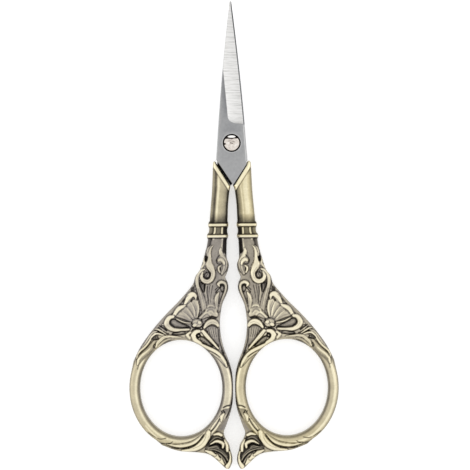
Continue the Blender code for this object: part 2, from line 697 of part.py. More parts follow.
def build():
    """Make the five pieces and hang them on the two halves."""
    clear_scene()
    parts = new_collection("embroidery_scissors")
    helpers = new_collection("cutters")

    steel = material("satin_steel", (0.42, 0.42, 0.41), 1.0, 0.35)
    polished = material("polished_nickel", (0.55, 0.54, 0.5), 1.0, 0.2)
    antique = material("antique_brass", (0.56, 0.47, 0.28), 1.0, 0.38)

    handle = handle_mesh(helpers)
    front_blade = blade_mesh("front_blade", True, helpers)
    rear_blade = blade_mesh("rear_blade", False, helpers)
    screw = screw_mesh(helpers)
    for mesh, finish in ((handle, antique), (front_blade, steel), (rear_blade, steel),
                         (screw, polished)):
        smooth(mesh)
        mesh.materials.clear()
        mesh.materials.append(finish)

    handle_reach = -min(v.co.y for v in handle.vertices)
    pivot = Vector((0.0, (handle_reach - BLADE_REACH) / 2, 0.0))

    front_half = bpy.data.objects.new("front_half", None)
    rear_half = bpy.data.objects.new("rear_half", None)
    for half in (front_half, rear_half):
        half.location = pivot
        parts.objects.link(half)
    turned_over = Matrix.Translation((0.0, 0.0, 2 * MID_Z)) @ Matrix.Rotation(math.pi, 4, "Y")

    for name, mesh, half in (("front_blade", front_blade, front_half),
                             ("right_handle", handle, front_half),
                             ("rear_blade", rear_blade, rear_half),
                             ("left_handle", handle, rear_half),
                             ("pivot_screw", screw, rear_half)):
        thing = place(name, mesh, parts)
        thing.parent = half
        if name in ("rear_blade", "left_handle"):
            thing.matrix_local = turned_over


build()
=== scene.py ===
import math

import bpy
import numpy as np
from mathutils import Matrix, Vector


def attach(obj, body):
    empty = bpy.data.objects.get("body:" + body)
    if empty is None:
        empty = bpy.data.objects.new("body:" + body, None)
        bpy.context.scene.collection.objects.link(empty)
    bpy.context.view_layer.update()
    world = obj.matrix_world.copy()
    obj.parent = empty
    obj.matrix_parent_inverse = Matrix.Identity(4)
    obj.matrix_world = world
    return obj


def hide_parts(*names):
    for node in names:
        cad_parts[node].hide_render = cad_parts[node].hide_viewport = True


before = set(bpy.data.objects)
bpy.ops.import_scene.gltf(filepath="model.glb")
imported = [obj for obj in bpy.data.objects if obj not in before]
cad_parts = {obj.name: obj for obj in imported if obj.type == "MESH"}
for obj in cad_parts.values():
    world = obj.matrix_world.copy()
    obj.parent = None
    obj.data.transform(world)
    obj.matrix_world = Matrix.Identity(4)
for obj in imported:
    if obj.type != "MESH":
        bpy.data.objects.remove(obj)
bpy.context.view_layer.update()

# Sizes in millimetres, measured from the pivot with Y towards the points
MM = 0.001
PIVOT_Y = 22.5364
MID_Z = 2.1

# Plan grid of the castings
STEP = 0.14
X_LOW, X_HIGH = -0.7, 26.6
Y_LOW, Y_HIGH = -81.0, -3.4

# Finger ring: middle, half lengths and width of its band
RING_X, RING_Y = 12.975, -60.05
RING_A, RING_B = 11.4, 13.175
BAND = 2.65

# Rounded border of the castings
RIM_INSET = 0.2
RIM_RADIUS = 0.7
RIM_WALL = 0.3
RIM_ROWS = (1.0, 0.5, 0.15, 0.0)
# Painted shade on the side walls of a casting: their value goes to this one at the mid plane
WALL_SHADE = 0.55

# Slanted rim against the blade: its distance from the pivot, its direction and its lowest point
RIM = 5.98
RIM_ANGLE = math.radians(33.2)
RIM_NORMAL = np.array([math.cos(RIM_ANGLE), -math.sin(RIM_ANGLE)])
RIM_END_Y = -14
RIM_REACH = 0.2
LIP_WIDTH = 1.1

# Relief: the least and most half thickness, the neck's and the ring band's bars, and the even ground
LEAST_HALF, MOST_HALF = 0.5, 2.08
NECK_LOW, NECK_RISE, NECK_DEPTH = 0.75, 1.2, 1.9
BAND_LOW, BAND_RISE = 0.85, 1.15
GROUND_HALF, GROUND_WEAR = 1.5, 0.66
BEADS = ((222.9, 226.6), (234.2, 237.9))
FINE_REACH, BROAD_REACH = 0.1, 0.35

# Cut lines beside a rolled line, the power of its back, and the least numbers to divide by
CREASE_DEPTH, CREASE_DARK = 0.2, 0.78
ROLL_POWER = 0.6
TINY, SMALL = 1e-12, 1e-6

# Squared paper that the ornament is drawn on: side of a square, the pivot's place and the lean
SQUARE = 0.245
PAPER_X, PAPER_Y = 231.7, 143.0
LEAN = math.atan(3.7 / 385)

# Edge of a casting: outer side, foot with the finial, and inner side
OUTER = [
    (4.2, -4.3), (4.62, -4.75), (4.72, -6.5), (4.98, -12.0), (5.52, -18.0), (5.6, -19.0),
    (5.92, -19.55), (5.96, -20.3), (5.74, -20.9), (5.84, -21.8), (6.26, -22.4), (6.3, -23.1),
    (6.12, -23.7), (6.42, -25.4), (7.23, -28.3), (8.1, -31.0), (9.2, -32.5), (9.75, -34.3),
    (10.7, -35.65), (13.3, -38.6), (16.2, -41.5), (18.95, -44.5), (21.25, -47.4), (23.2, -50.35),
    (24.6, -53.3)]
FOOT = [
    (17.8, -73.95), (13.9, -75.35), (9.5, -75.75), (7.0, -76.1), (5.44, -76.85), (3.8, -78.3),
    (2.4, -79.65), (1.75, -79.96), (1.25, -79.7), (0.62, -78.3), (0.62, -76.8), (1.05, -75.3),
    (1.36, -73.9), (2.25, -72.4), (2.6, -70.9), (2.1, -69.5), (1.55, -68.0), (1.04, -66.5),
    (0.62, -65.0), (0.35, -63.3)]
INNER = [
    (0.27, -61.5), (0.27, -58.8), (0.5, -56.0), (1.25, -53.3), (2.38, -50.35), (3.07, -47.4),
    (3.3, -44.5), (3.2, -42.5), (2.8, -40.0), (2.3, -38.6), (1.62, -37.1), (1.15, -35.65),
    (1.3, -34.2), (1.85, -33.0), (1.55, -32.1), (1.12, -30.9), (1.0, -29.6), (1.45, -28.2),
    (1.5, -26.8), (1.42, -24.4), (1.36, -23.6), (1.08, -23.1), (1.06, -22.5), (1.26, -21.8),
    (1.22, -20.9), (1.0, -20.3), (1.0, -19.7), (1.16, -19.0), (1.12, -18.0), (1.01, -15.1),
    (0.69, -12.1), (0.42, -10.6), (0.58, -10.1)]
RING_ANGLES = np.arange(14, -66, -5.0)


def spline(points, per, closed=False):
    """Catmull-Rom curve through rows of numbers: a cubic from row to row, whose slope at a row is half the
    difference between the rows on both sides of it, taken at per places."""
    p = np.asarray(points, float)
    if closed:
        p = np.vstack([p[-1], p, p[0], p[1]])
    else:
        p = np.vstack([2 * p[0] - p[1], p, 2 * p[-1] - p[-2]])
    t = np.linspace(0, 1, per, endpoint=False)[:, None]
    a, b, c, d = (p[k:len(p) - 3 + k, None] for k in range(4))
    out = 0.5 * ((2 * b) + (c - a) * t + (2 * a - 5 * b + 4 * c - d) * t ** 2
                 + (3 * b - a - 3 * c + d) * t ** 3)
    out = out.reshape(-1, p.shape[1])
    return out if closed else np.vstack([out, p[-2]])


def sheet(points):
    """Points of the squared paper in millimetres from the pivot: moved, turned by the lean and scaled by a
    square's side, as a half width is too."""
    p = np.asarray(points, float)
    u, v = p[:, 0] - PAPER_X, PAPER_Y - p[:, 1]
    c, s = math.cos(LEAN), math.sin(LEAN)
    out = np.stack([(u * c + v * s) * SQUARE, (-u * s + v * c) * SQUARE], -1)
    return np.hstack([out, p[:, 2:3] * SQUARE])


def level(y):
    """Y in millimetres of a row of the squared paper, taken beside the neck."""
    return sheet([(247, y)])[0][1]


def outline(reach):
    """Edge of a casting: curves through the drawn points and the ring's ellipse moved out by half the band.
    Points on the slanted rim move by reach towards the blade."""
    a = np.radians(RING_ANGLES)
    nx, ny = np.cos(a) / RING_A, np.sin(a) / RING_B
    n = np.hypot(nx, ny)
    ring = np.stack([RING_X + RING_A * np.cos(a) + nx / n * (BAND / 2),
                     RING_Y + RING_B * np.sin(a) + ny / n * (BAND / 2)], -1)
    edge = np.vstack([spline(OUTER, 8), ring, spline(FOOT + INNER, 8)])
    edge[np.abs(edge @ RIM_NORMAL - RIM) < 0.3] -= reach * RIM_NORMAL
    return edge


def polygon_distance(X, Y, polygon):
    """Least distance to a side of a closed polygon, positive inside, where a line to the right crosses an
    odd number of sides."""
    px, py = X.ravel(), Y.ravel()
    best = np.full(px.shape, 1e9)
    inside = np.zeros(px.shape, bool)
    for (x0, y0), (x1, y1) in zip(polygon, np.roll(polygon, -1, 0)):
        dx, dy = x1 - x0, y1 - y0
        square = dx * dx + dy * dy
        if square < TINY:
            continue
        t = np.clip(((px - x0) * dx + (py - y0) * dy) / square, 0, 1)
        best = np.minimum(best, (px - x0 - t * dx) ** 2 + (py - y0 - t * dy) ** 2)
        if dy:
            inside ^= ((y0 > py) != (y1 > py)) & (px < x0 + (py - y0) / dy * dx)
    return (np.sqrt(best) * np.where(inside, 1, -1)).reshape(X.shape)


def ellipse_distance(X, Y, a, b):
    """Distance out from an ellipse about the ring's middle: f - 1 over the slope of f, which is 1 on it."""
    u, v = (X - RING_X) / a, (Y - RING_Y) / b
    f = np.hypot(u, v)
    slope = np.hypot(u / a, v / b) / np.maximum(f, SMALL)
    return (f - 1) / np.maximum(slope, SMALL)


class Relief:
    """Plan grids of a casting: places X and Y, depth S in from the edge, half thickness H, value T from dark
    to rubbed, which holds patina, wear and painted light and shade, and gilding G."""

    def __init__(self, reach):
        xs = np.arange(X_LOW, X_HIGH, STEP)
        ys = np.arange(Y_LOW, Y_HIGH, STEP)
        self.X, self.Y = np.meshgrid(xs, ys, indexing="ij")
        hole = ellipse_distance(self.X, self.Y, RING_A - BAND / 2, RING_B - BAND / 2)
        self.S = np.minimum(polygon_distance(self.X, self.Y, outline(reach)), hole)
        self.H, self.T, self.G = np.zeros((3, *self.X.shape))

    def window(self, points, margin):
        """Part of the grid round some points, as two slices."""
        low = (points[:, :2].min(0) - margin - (X_LOW, Y_LOW)) / STEP
        high = (points[:, :2].max(0) + margin - (X_LOW, Y_LOW)) / STEP + 2
        i0, j0 = np.maximum(low, 0).astype(int)
        i1, j1 = np.minimum(high, self.X.shape).astype(int)
        return slice(i0, i1), slice(j0, j1)

    def along(self, knots, margin):
        """Part of the grid near a line, and there the share along the line, the signed distance from it and
        its half width, at the nearest place on the straight pieces of its curve."""
        k = spline(sheet(knots), 8)
        win = self.window(k, margin + k[:, 2].max())
        dx, dy = np.diff(k[:, 0]), np.diff(k[:, 1])
        px, py = self.X[win][..., None] - k[:-1, 0], self.Y[win][..., None] - k[:-1, 1]
        t = np.clip((px * dx + py * dy) / np.maximum(dx * dx + dy * dy, TINY), 0, 1)
        ex, ey = px - t * dx, py - t * dy
        far = ex * ex + ey * ey
        j = far.argmin(-1)
        t, ex, ey, far = (np.take_along_axis(a, j[..., None], -1)[..., 0] for a in (t, ex, ey, far))
        side = np.sign(dx[j] * ey - dy[j] * ex)
        half = k[j, 2] + t * (k[j + 1, 2] - k[j, 2])
        return win, (j + t) / (len(k) - 1), np.sqrt(far) * side, np.maximum(half, 0.02)

    def roll(self, knots, top, tone, flat=0.0, low=1.35, crease=0.09):
        """Rounded swelling line with a cut line along both sides.  At a share u of its half width it stands
        low + (top - low) (1 - v * v) ** 0.6 high, v the share of the way from its flat middle to its side,
        and a cut falls off as exp(-(distance / crease) ** 2).  Two tones blend from end to end."""
        win, s, d, half = self.along(knots, 0.6)
        u, out = np.abs(d) / half, np.abs(d) - half
        fall = np.exp(-(np.maximum(out, 0) / crease) ** 2)
        H, T = self.H[win], self.T[win]
        H[:] = np.where(out > 0, H - CREASE_DEPTH * fall, H)
        T[:] = np.where(out > 0, T * (1 - CREASE_DARK * fall), T)
        v = np.maximum(0.0, (u - flat) / (1 - flat))
        H[:] = np.where(u < 1, low + (top - low) * np.maximum(0, 1 - v * v) ** ROLL_POWER, H)
        first, last = tone if isinstance(tone, tuple) else (tone, tone)
        # Painted shade: the value falls off towards the sides of the line, so that only its crest is pale
        T[:] = np.where(u < 1, (first + (last - first) * s) * (1 - 0.14 * u ** 2 - 0.2 * u ** 4), T)

    def ridge(self, line, width, tone, height=0.12, strength=0.8):
        """Fine raised line: height exp(-(distance / width) ** 2) is added, and the wear goes to the tone by
        strength times the same."""
        win, _, d, half = self.along([(x, y, width) for x, y in line], 0.3)
        fall = np.exp(-(d / half) ** 2)
        self.H[win] += height * fall
        T = self.T[win]
        T[:] = T * (1 - strength * fall) + tone * strength * fall

    def cut(self, line, width, tone, depth=0.4):
        """Fine cut line: a ridge turned down, whose wear is all its own tone."""
        self.ridge(line, width, tone, -depth, 1.0)

    def patch(self, border, height, tone, soft):
        """Flat place inside a closed curve: height and wear blend in by a smooth step as wide as soft."""
        p = spline(sheet(border), 6, closed=True)
        win = self.window(p, 0.6)
        a = np.clip(polygon_distance(self.X[win], self.Y[win], p) / soft + 0.5, 0, 1)
        a = a * a * (3 - 2 * a)
        self.H[win] = self.H[win] * (1 - a) + height * a
        self.T[win] = self.T[win] * (1 - a) + tone * a

    def oval(self, x, y, rx, ry, turn, margin):
        """Part of the grid round a turned oval, and how far out each point lies, 1 on the oval."""
        (x, y, rx), ry = sheet([(x, y, rx)])[0], ry * SQUARE
        win = self.window(np.array([(x - rx, y - ry), (x + rx, y + ry)]), margin + abs(rx - ry))
        c, s = math.cos(turn), math.sin(turn)
        dx, dy = self.X[win] - x, self.Y[win] - y
        return win, np.hypot((dx * c + dy * s) / rx, (-dx * s + dy * c) / ry)

    def dome(self, x, y, rx, ry, turn, top, low, tone, rim=0.18):
        """Rounded knob, low + (top - low) sqrt(1 - u * u) high, u the share of the way out to its oval,
        with a cut line of the width rim round it."""
        win, u = self.oval(x, y, rx, ry, turn, 0.8)
        fall = np.exp(-(np.maximum((u - 1) * min(rx, ry) * SQUARE, 0) / rim) ** 2)
        H, T = self.H[win], self.T[win]
        H[:] = np.where(u < 1, low + (top - low) * np.sqrt(np.maximum(0, 1 - u * u)), H - 0.25 * fall)
        # Painted shade: the knob's value falls off towards its oval
        T[:] = np.where(u < 1, tone * (1 - 0.3 * u ** 4), T * (1 - 0.9 * fall))

    def eye(self, x, y, rx, ry, turn=0.0, bead=0.6, deep=0.5, core=0.5):
        """Small pit with straight sides at its oval, and a bead in it over the share bead of the oval, 0.7 of
        the depth high and of the wear core."""
        win, u = self.oval(x, y, rx, ry, turn, 0.5)
        pit = np.clip((1.12 - u) / 0.25, 0, 1)
        knob = np.clip((bead - u) / 0.25 + 0.5, 0, 1)
        H, T = self.H[win], self.T[win]
        H[:] = H - deep * pit + deep * 0.7 * knob
        T[:] = T * (1 - pit) + (0.03 + (core - 0.03) * knob) * pit


def blur(grid, reach):
    """Grid smoothed over a reach: each of its waves is scaled by exp(-2 (pi reach frequency) ** 2)."""
    fx, fy = np.fft.fftfreq(grid.shape[0], STEP), np.fft.rfftfreq(grid.shape[1], STEP)
    fade = np.exp(-2 * (math.pi * reach) ** 2 * (fx[:, None] ** 2 + fy[None, :] ** 2))
    return np.fft.irfft2(np.fft.rfft2(grid) * fade, s=grid.shape)


def side_at(points, Y):
    """Sideways place of a drawn edge at each height."""
    edge = np.array(points)
    return np.interp(-Y, -edge[:, 1], edge[:, 0])


# Painted reflections and shade across the neck, light strips, glints and a shaded inner edge: places from the
# inner side to the outer side and the value there
NECK_LIGHT_LEFT = ((0, .08, .15, .25, .35, .45, .54, .6, .67, .73, .79, .86, .93, 1),
             (.1, .16, .42, .6, .7, .74, .76, .98, .98, .5, .26, .4, .58, .6))
NECK_LIGHT_RIGHT = ((0, .08, .14, .24, .3, .36, .44, .52, .7, .79, .9, 1),
              (.08, .12, .36, .5, .62, .95, .8, .95, .98, .78, .56, .5))
NECK_LIGHT_WAIST = ((0, .15, .23, .265, .31, .36, .42, .56, .61, .65, .7, .75, .83, 1),
              (.06, .05, .1, .98, .98, .2, .42, .42, .2, .98, .98, .1, .36, .5))
NECK_LIGHT_LOWER = ((0, .1, .19, .225, .265, .31, .5, .62, .67, .72, .77, .84, 1),
              (.08, .04, .08, .95, .95, .46, .46, .5, .98, .98, .12, .2, .5))

# Painted reflections and shade across the ring's band, far from the other ring and near it, where its outer
# edge is shaded
BAND_LIGHT_LEFT = ((-1, -.85, -.7, -.5, -.38, -.2, -.05, .1, .6, .85, 1),
             (.72, .5, .46, .5, .9, .98, .85, .78, .76, .68, .7))
BAND_LIGHT_RIGHT = ((-1, -.86, -.72, -.6, -.45, -.3, 0, .12, .35, .5, .7, .88, 1),
              (.75, .6, .42, .4, .7, .76, .78, .97, 1, .8, .66, .6, .7))
BAND_LIGHT_NEAR = ((-1, -.85, -.74, -.5, -.36, -.1, .2, .48, .7, .88, 1),
             (.55, .4, .46, .56, .84, .78, .82, .95, .72, .26, .2))


def draw_neck(r, left_hand):
    """Neck, a bar 0.75 + 1.2 sqrt(1 - (1 - d) ** 2) high, d the depth from its edge as a share of 1.9 mm,
    with streaks of painted reflection and shade along it; the upper streaks differ for each hand and darken
    towards the upper bead.  Over 4 mm it gives way to the even ground of the ornament."""
    deep = np.clip(r.S, 0, NECK_DEPTH) / NECK_DEPTH
    bar = NECK_LOW + NECK_RISE * np.sqrt(np.clip(1 - (1 - deep) ** 2, 0, 1))
    share = np.clip((r.Y + 31.0) / 4.0, 0, 1)
    r.H[:] = bar * share + GROUND_HALF * (1 - share)
    x_out, x_in = side_at(OUTER, r.Y), side_at(INNER[::-1], r.Y)
    w = np.clip((r.X - x_in) / (x_out - x_in), 0, 1)
    # Painted shade: the neck darkens over 2.2 mm towards the upper bead
    fade = np.clip((r.Y - level(222)) / 2.2, 0, 1)
    wear_and_painted_light = np.interp(w, *(NECK_LIGHT_LEFT if left_hand else NECK_LIGHT_RIGHT)) * (0.42 + 0.58 * fade)
    wear_and_painted_light = np.where(r.Y < level(227), np.interp(w, *NECK_LIGHT_WAIST), wear_and_painted_light)
    wear_and_painted_light = np.where(r.Y < level(234), np.interp(w, *NECK_LIGHT_LOWER), wear_and_painted_light)
    r.T[:] = wear_and_painted_light * share + GROUND_WEAR * (1 - share)

    # Smooth tongue that the neck ends in
    r.patch([(243, 240), (253, 240), (254.5, 250), (254, 262), (251, 272), (250, 279), (246, 279), (247, 268),
        (249, 258), (247, 250)], 1.55, 0.58, 0.5)
    r.patch([(250, 283), (262, 283), (262, 300), (259, 305), (253, 304), (250, 294)], 1.5, 0.58, 0.5)


def draw_ring(r, left_hand):
    """Ring band 0.85 + 1.15 sqrt(1 - off ** 2) high, off the place across it from -1 to 1.  Its streaks of
    painted reflection and shade differ for each hand and blend from the side next to the other ring, shaded at
    its outer edge, to the far side, and the gilding goes over the whole casting."""
    off = ellipse_distance(r.X, r.Y, RING_A, RING_B) / (BAND / 2 + 0.15)
    on = np.abs(off) < 1
    r.H[:] = np.where(on, BAND_LOW + BAND_RISE * np.sqrt(np.clip(1 - off ** 2, 0, 1)), r.H)
    near_light = np.array(BAND_LIGHT_NEAR[1])
    if left_hand:
        near_light[2:4] -= 0.1
    far = np.interp(off, *(BAND_LIGHT_LEFT if left_hand else BAND_LIGHT_RIGHT))
    near = np.interp(off, BAND_LIGHT_NEAR[0], near_light)
    side = np.clip(0.6 + 0.8 * (r.X - RING_X) / RING_A, 0, 1)
    r.T[:] = np.where(on, far * side + near * (1 - side), r.T)

    # Gilding, partly the brass's own colour and partly painted light: set apart for each hand, the left copy
    # duller than the right
    r.G[:] = 0.55 if left_hand else 0.8
    r.G[r.Y < level(236)] = 0.0 if left_hand else 0.2
    r.G[r.Y < level(430)] = 0.4
    gilding = 0.1 + 0.36 * side if left_hand else 0.62 - 0.14 * side
    gilding = gilding + (0.2 - gilding) * np.clip((r.Y - level(345)) / 3, 0, 1)
    gilding = gilding + 0.2 * np.clip((level(415) - r.Y) / 4, 0, 1)
    r.G[:] = np.where(on, gilding, r.G)


def draw_leaves(r):
    """Slope, leaves, scroll, flutes and hook between neck and shell.  Here and below, a roll has its places and
    half widths, then its top, wear and flat share; a ridge or a cut its places, then its half width, wear, and
    height or depth; and a patch its border, then its height, wear and softness.  Later lines lie on top."""
    roll, ridge, cut, patch, eye = r.roll, r.ridge, r.cut, r.patch, r.eye

    # Web ground over the ring where the ornament covers it
    patch([(248, 326), (262, 326), (300, 326), (306, 331), (300, 336), (290, 336.5), (276, 338.5),
        (262, 346.5), (248, 352)], 1.5, 0.72, 0.5)
    ridge([(276, 340.6), (284, 338.4), (292, 338.2)], 0.6, 0.95)
    ridge([(280, 334.8), (288, 334.9), (295, 335)], 0.7, 0.85)

    # Silvery slope outside the shell
    roll([(262.6, 258, 1), (265, 265.5, 1.6), (269.2, 271, 1.7), (272.2, 277, 1.9), (273.2, 283, 2.2),
        (275.6, 288.5, 2.4), (281, 295, 2.2), (287, 301, 2.2), (293, 307.5, 2.2), (299, 314, 2.4),
        (305, 321, 2.4), (311, 328, 1.6)], 1.5, 0.66, 0.29)
    cut([(271, 289), (275, 291), (279.5, 296), (284, 301)], 0.7, 0.3, 0.2)
    cut([(284.6, 302), (288.6, 306), (292, 310)], 0.5, 0.3, 0.15)
    patch([(272, 286), (275, 287), (275, 290), (272, 289.5)], 1.2, 0.25, 0.3)

    # Slender leaves at the head of the S
    roll([(254.6, 245.6, 0.6), (257, 248.2, 1.1), (258, 251.5, 1.1), (257.8, 254.5, 1.1),
        (258.8, 256.8, 0.6)], 1.7, 0.8)
    patch([(258, 256.8), (260.6, 255.2), (260.4, 260.6), (258.6, 260)], 1, 0, 0.2)
    roll([(261.6, 256.8, 0.7), (262, 260, 1.1), (261.2, 262.8, 1.3), (263.4, 266, 1.2), (266.4, 269.2, 0.9)],
        1.75, 0.9)

    # Right arm and the stem under it
    roll([(261, 268.6, 0.9), (263.6, 270, 1.9), (266.6, 272.8, 2.4), (268.3, 276.6, 2.5), (268.9, 281, 2.4),
        (268.5, 285, 2.3), (267.1, 290, 2.6), (265.6, 295, 3.2), (264.2, 300, 3.5), (263, 305, 3.3),
        (262.7, 310, 2.5), (264.2, 314, 1.3)], 1.95, (1, 0.55), 0.26)
    cut([(265.6, 274.4), (267, 278), (267.2, 282), (266.4, 287), (264.6, 293), (263.2, 299), (261.8, 306)],
        0.3, 0.35, 0.12)
    cut([(268.2, 288), (266.6, 294), (265.4, 301), (264, 309)], 0.3, 0.35, 0.12)
    ridge([(266.6, 291), (264.6, 298), (263, 305)], 0.35, 0.85)

    # S leaf closing in a scroll
    roll([(252.4, 245.2, 0.5), (254.5, 248, 1.2), (255.7, 252, 1.6), (255.8, 256, 1.8), (256.2, 260, 2.6),
        (256.4, 264, 4.1), (254.8, 267.8, 4.1), (253, 271.4, 3), (253, 275.4, 2.8), (254.9, 279.3, 2.8),
        (258.3, 281.1, 2.9), (262, 280.2, 2.8), (264.2, 277.5, 2.4), (264.2, 274.5, 1.8),
        (262.9, 271.8, 1.1)], 2.05, (0.95, 1), 0.26)
    cut([(257, 267), (254, 271.5), (253.6, 275.4), (255.4, 279), (258.6, 281), (262.5, 280)], 0.28, 0.6, 0.08)
    eye(258.7, 274.9, 2.8, 3.5, 0.2, bead=0.8, core=0.62)
    cut([(257.4, 270.2), (258.4, 269.6), (260.2, 271.2)], 0.35, 0.1, 0.2)
    cut([(259.6, 271.6), (258.6, 274), (259.8, 275.6), (258.8, 277)], 0.3, 0.05, 0.15)

    # Fluted wedge under the scroll
    patch([(260.6, 284.6), (263, 283.4), (265.2, 281.6), (266.4, 283), (264.6, 288.4), (262.6, 292),
        (261.2, 288.4)], 1.1, 0.3, 0.15)
    cut([(262.1, 284.4), (262.2, 288), (262.2, 291)], 0.3, 0.05, 0.2)
    cut([(264.2, 283.4), (264, 287), (263.4, 290)], 0.3, 0.05, 0.2)
    ridge([(263.2, 284), (263.2, 288), (262.8, 291)], 0.4, 0.8)
    ridge([(264.9, 283), (264.6, 286), (263.8, 288.5)], 0.3, 0.6)

    # Flutes between hook and stem
    ridge([(252.2, 286), (253.6, 292), (254.8, 301)], 0.8, 0.5)
    ridge([(254.6, 284), (256.2, 292), (257.2, 302)], 0.8, 0.62)
    ridge([(257.4, 284), (258, 291), (257.9, 299)], 0.8, 0.5)
    ridge([(260, 284.5), (260.4, 291), (259.8, 300)], 0.8, 0.8)
    cut([(253.4, 285), (255, 293), (256.2, 302)], 0.35, 0.2, 0.2)
    cut([(256, 285), (257.2, 292), (257.8, 300)], 0.35, 0.2, 0.2)
    cut([(258.9, 286), (259.2, 292), (258.6, 298), (258.2, 303.4)], 0.45, 0.05, 0.25)

    # Flame leaf on the inner side
    roll([(244.7, 247.6, 0.5), (245.1, 251.4, 1.8), (243.5, 256, 2.6), (241.3, 260, 3.1), (241, 264.5, 3.3),
        (242.2, 269, 3.2), (244, 273.6, 1.5)], 1.9, (1, 0.75), 0.26)
    cut([(241.8, 259), (240, 262.5), (240.6, 268), (243, 273)], 0.35, 0.35, 0.15)
    cut([(243.4, 263.6), (243, 267), (244.2, 271)], 0.5, 0.3, 0.15)
    roll([(246, 272.4, 1), (247.2, 269.6, 1.5), (247, 267, 1.6), (245.2, 265.6, 1)], 1.95, 0.95)
    roll([(241.6, 264, 1.3), (242.8, 261, 2), (245.2, 259.3, 2.2), (247, 260.1, 1.7)], 2, 1)
    cut([(246, 255), (247.6, 256.6), (249.2, 259.2), (249.1, 262), (247.4, 263.8), (245.2, 263.8)],
        0.42, 0.1, 0.35)
    ridge([(238.2, 257.6), (240, 255.6), (241.4, 253.2)], 0.4, 0.9)

    # Hook with its eye, and the pale tongue
    patch([(241, 283), (245, 284), (246.5, 289), (245, 293), (242, 290)], 1.4, 0.5, 0.2)
    roll([(247.2, 292, 0.9), (248.9, 295, 2.3), (250, 299.5, 2.7), (249.9, 304, 2.4), (249.4, 309.5, 1.1)],
        1.9, (1, 0.7))
    cut([(248.2, 295.5), (249.6, 300), (249.6, 306)], 0.3, 0.6, 0.1)
    roll([(246.8, 286.2, 1.1), (247.7, 283.7, 2.2), (244.8, 281.8, 2.3), (241.4, 283, 2), (240.1, 286.5, 1.8),
        (241, 291, 1.8), (242.9, 296, 1.9), (244.7, 301, 2), (246.2, 306, 1.9), (247.7, 311, 1.1)],
        2, (1, 0.55))
    cut([(242.8, 292), (245, 298), (247, 306)], 0.3, 0.3, 0.1)
    eye(243.9, 288.3, 1.8, 3.7, -0.15, bead=0.78, core=0.6)
    cut([(246.3, 287.4), (248.3, 289.4), (250.6, 292.2)], 0.4, 0)
    cut([(248.4, 287.3), (250.4, 289), (251, 290)], 0.3, 0.05)


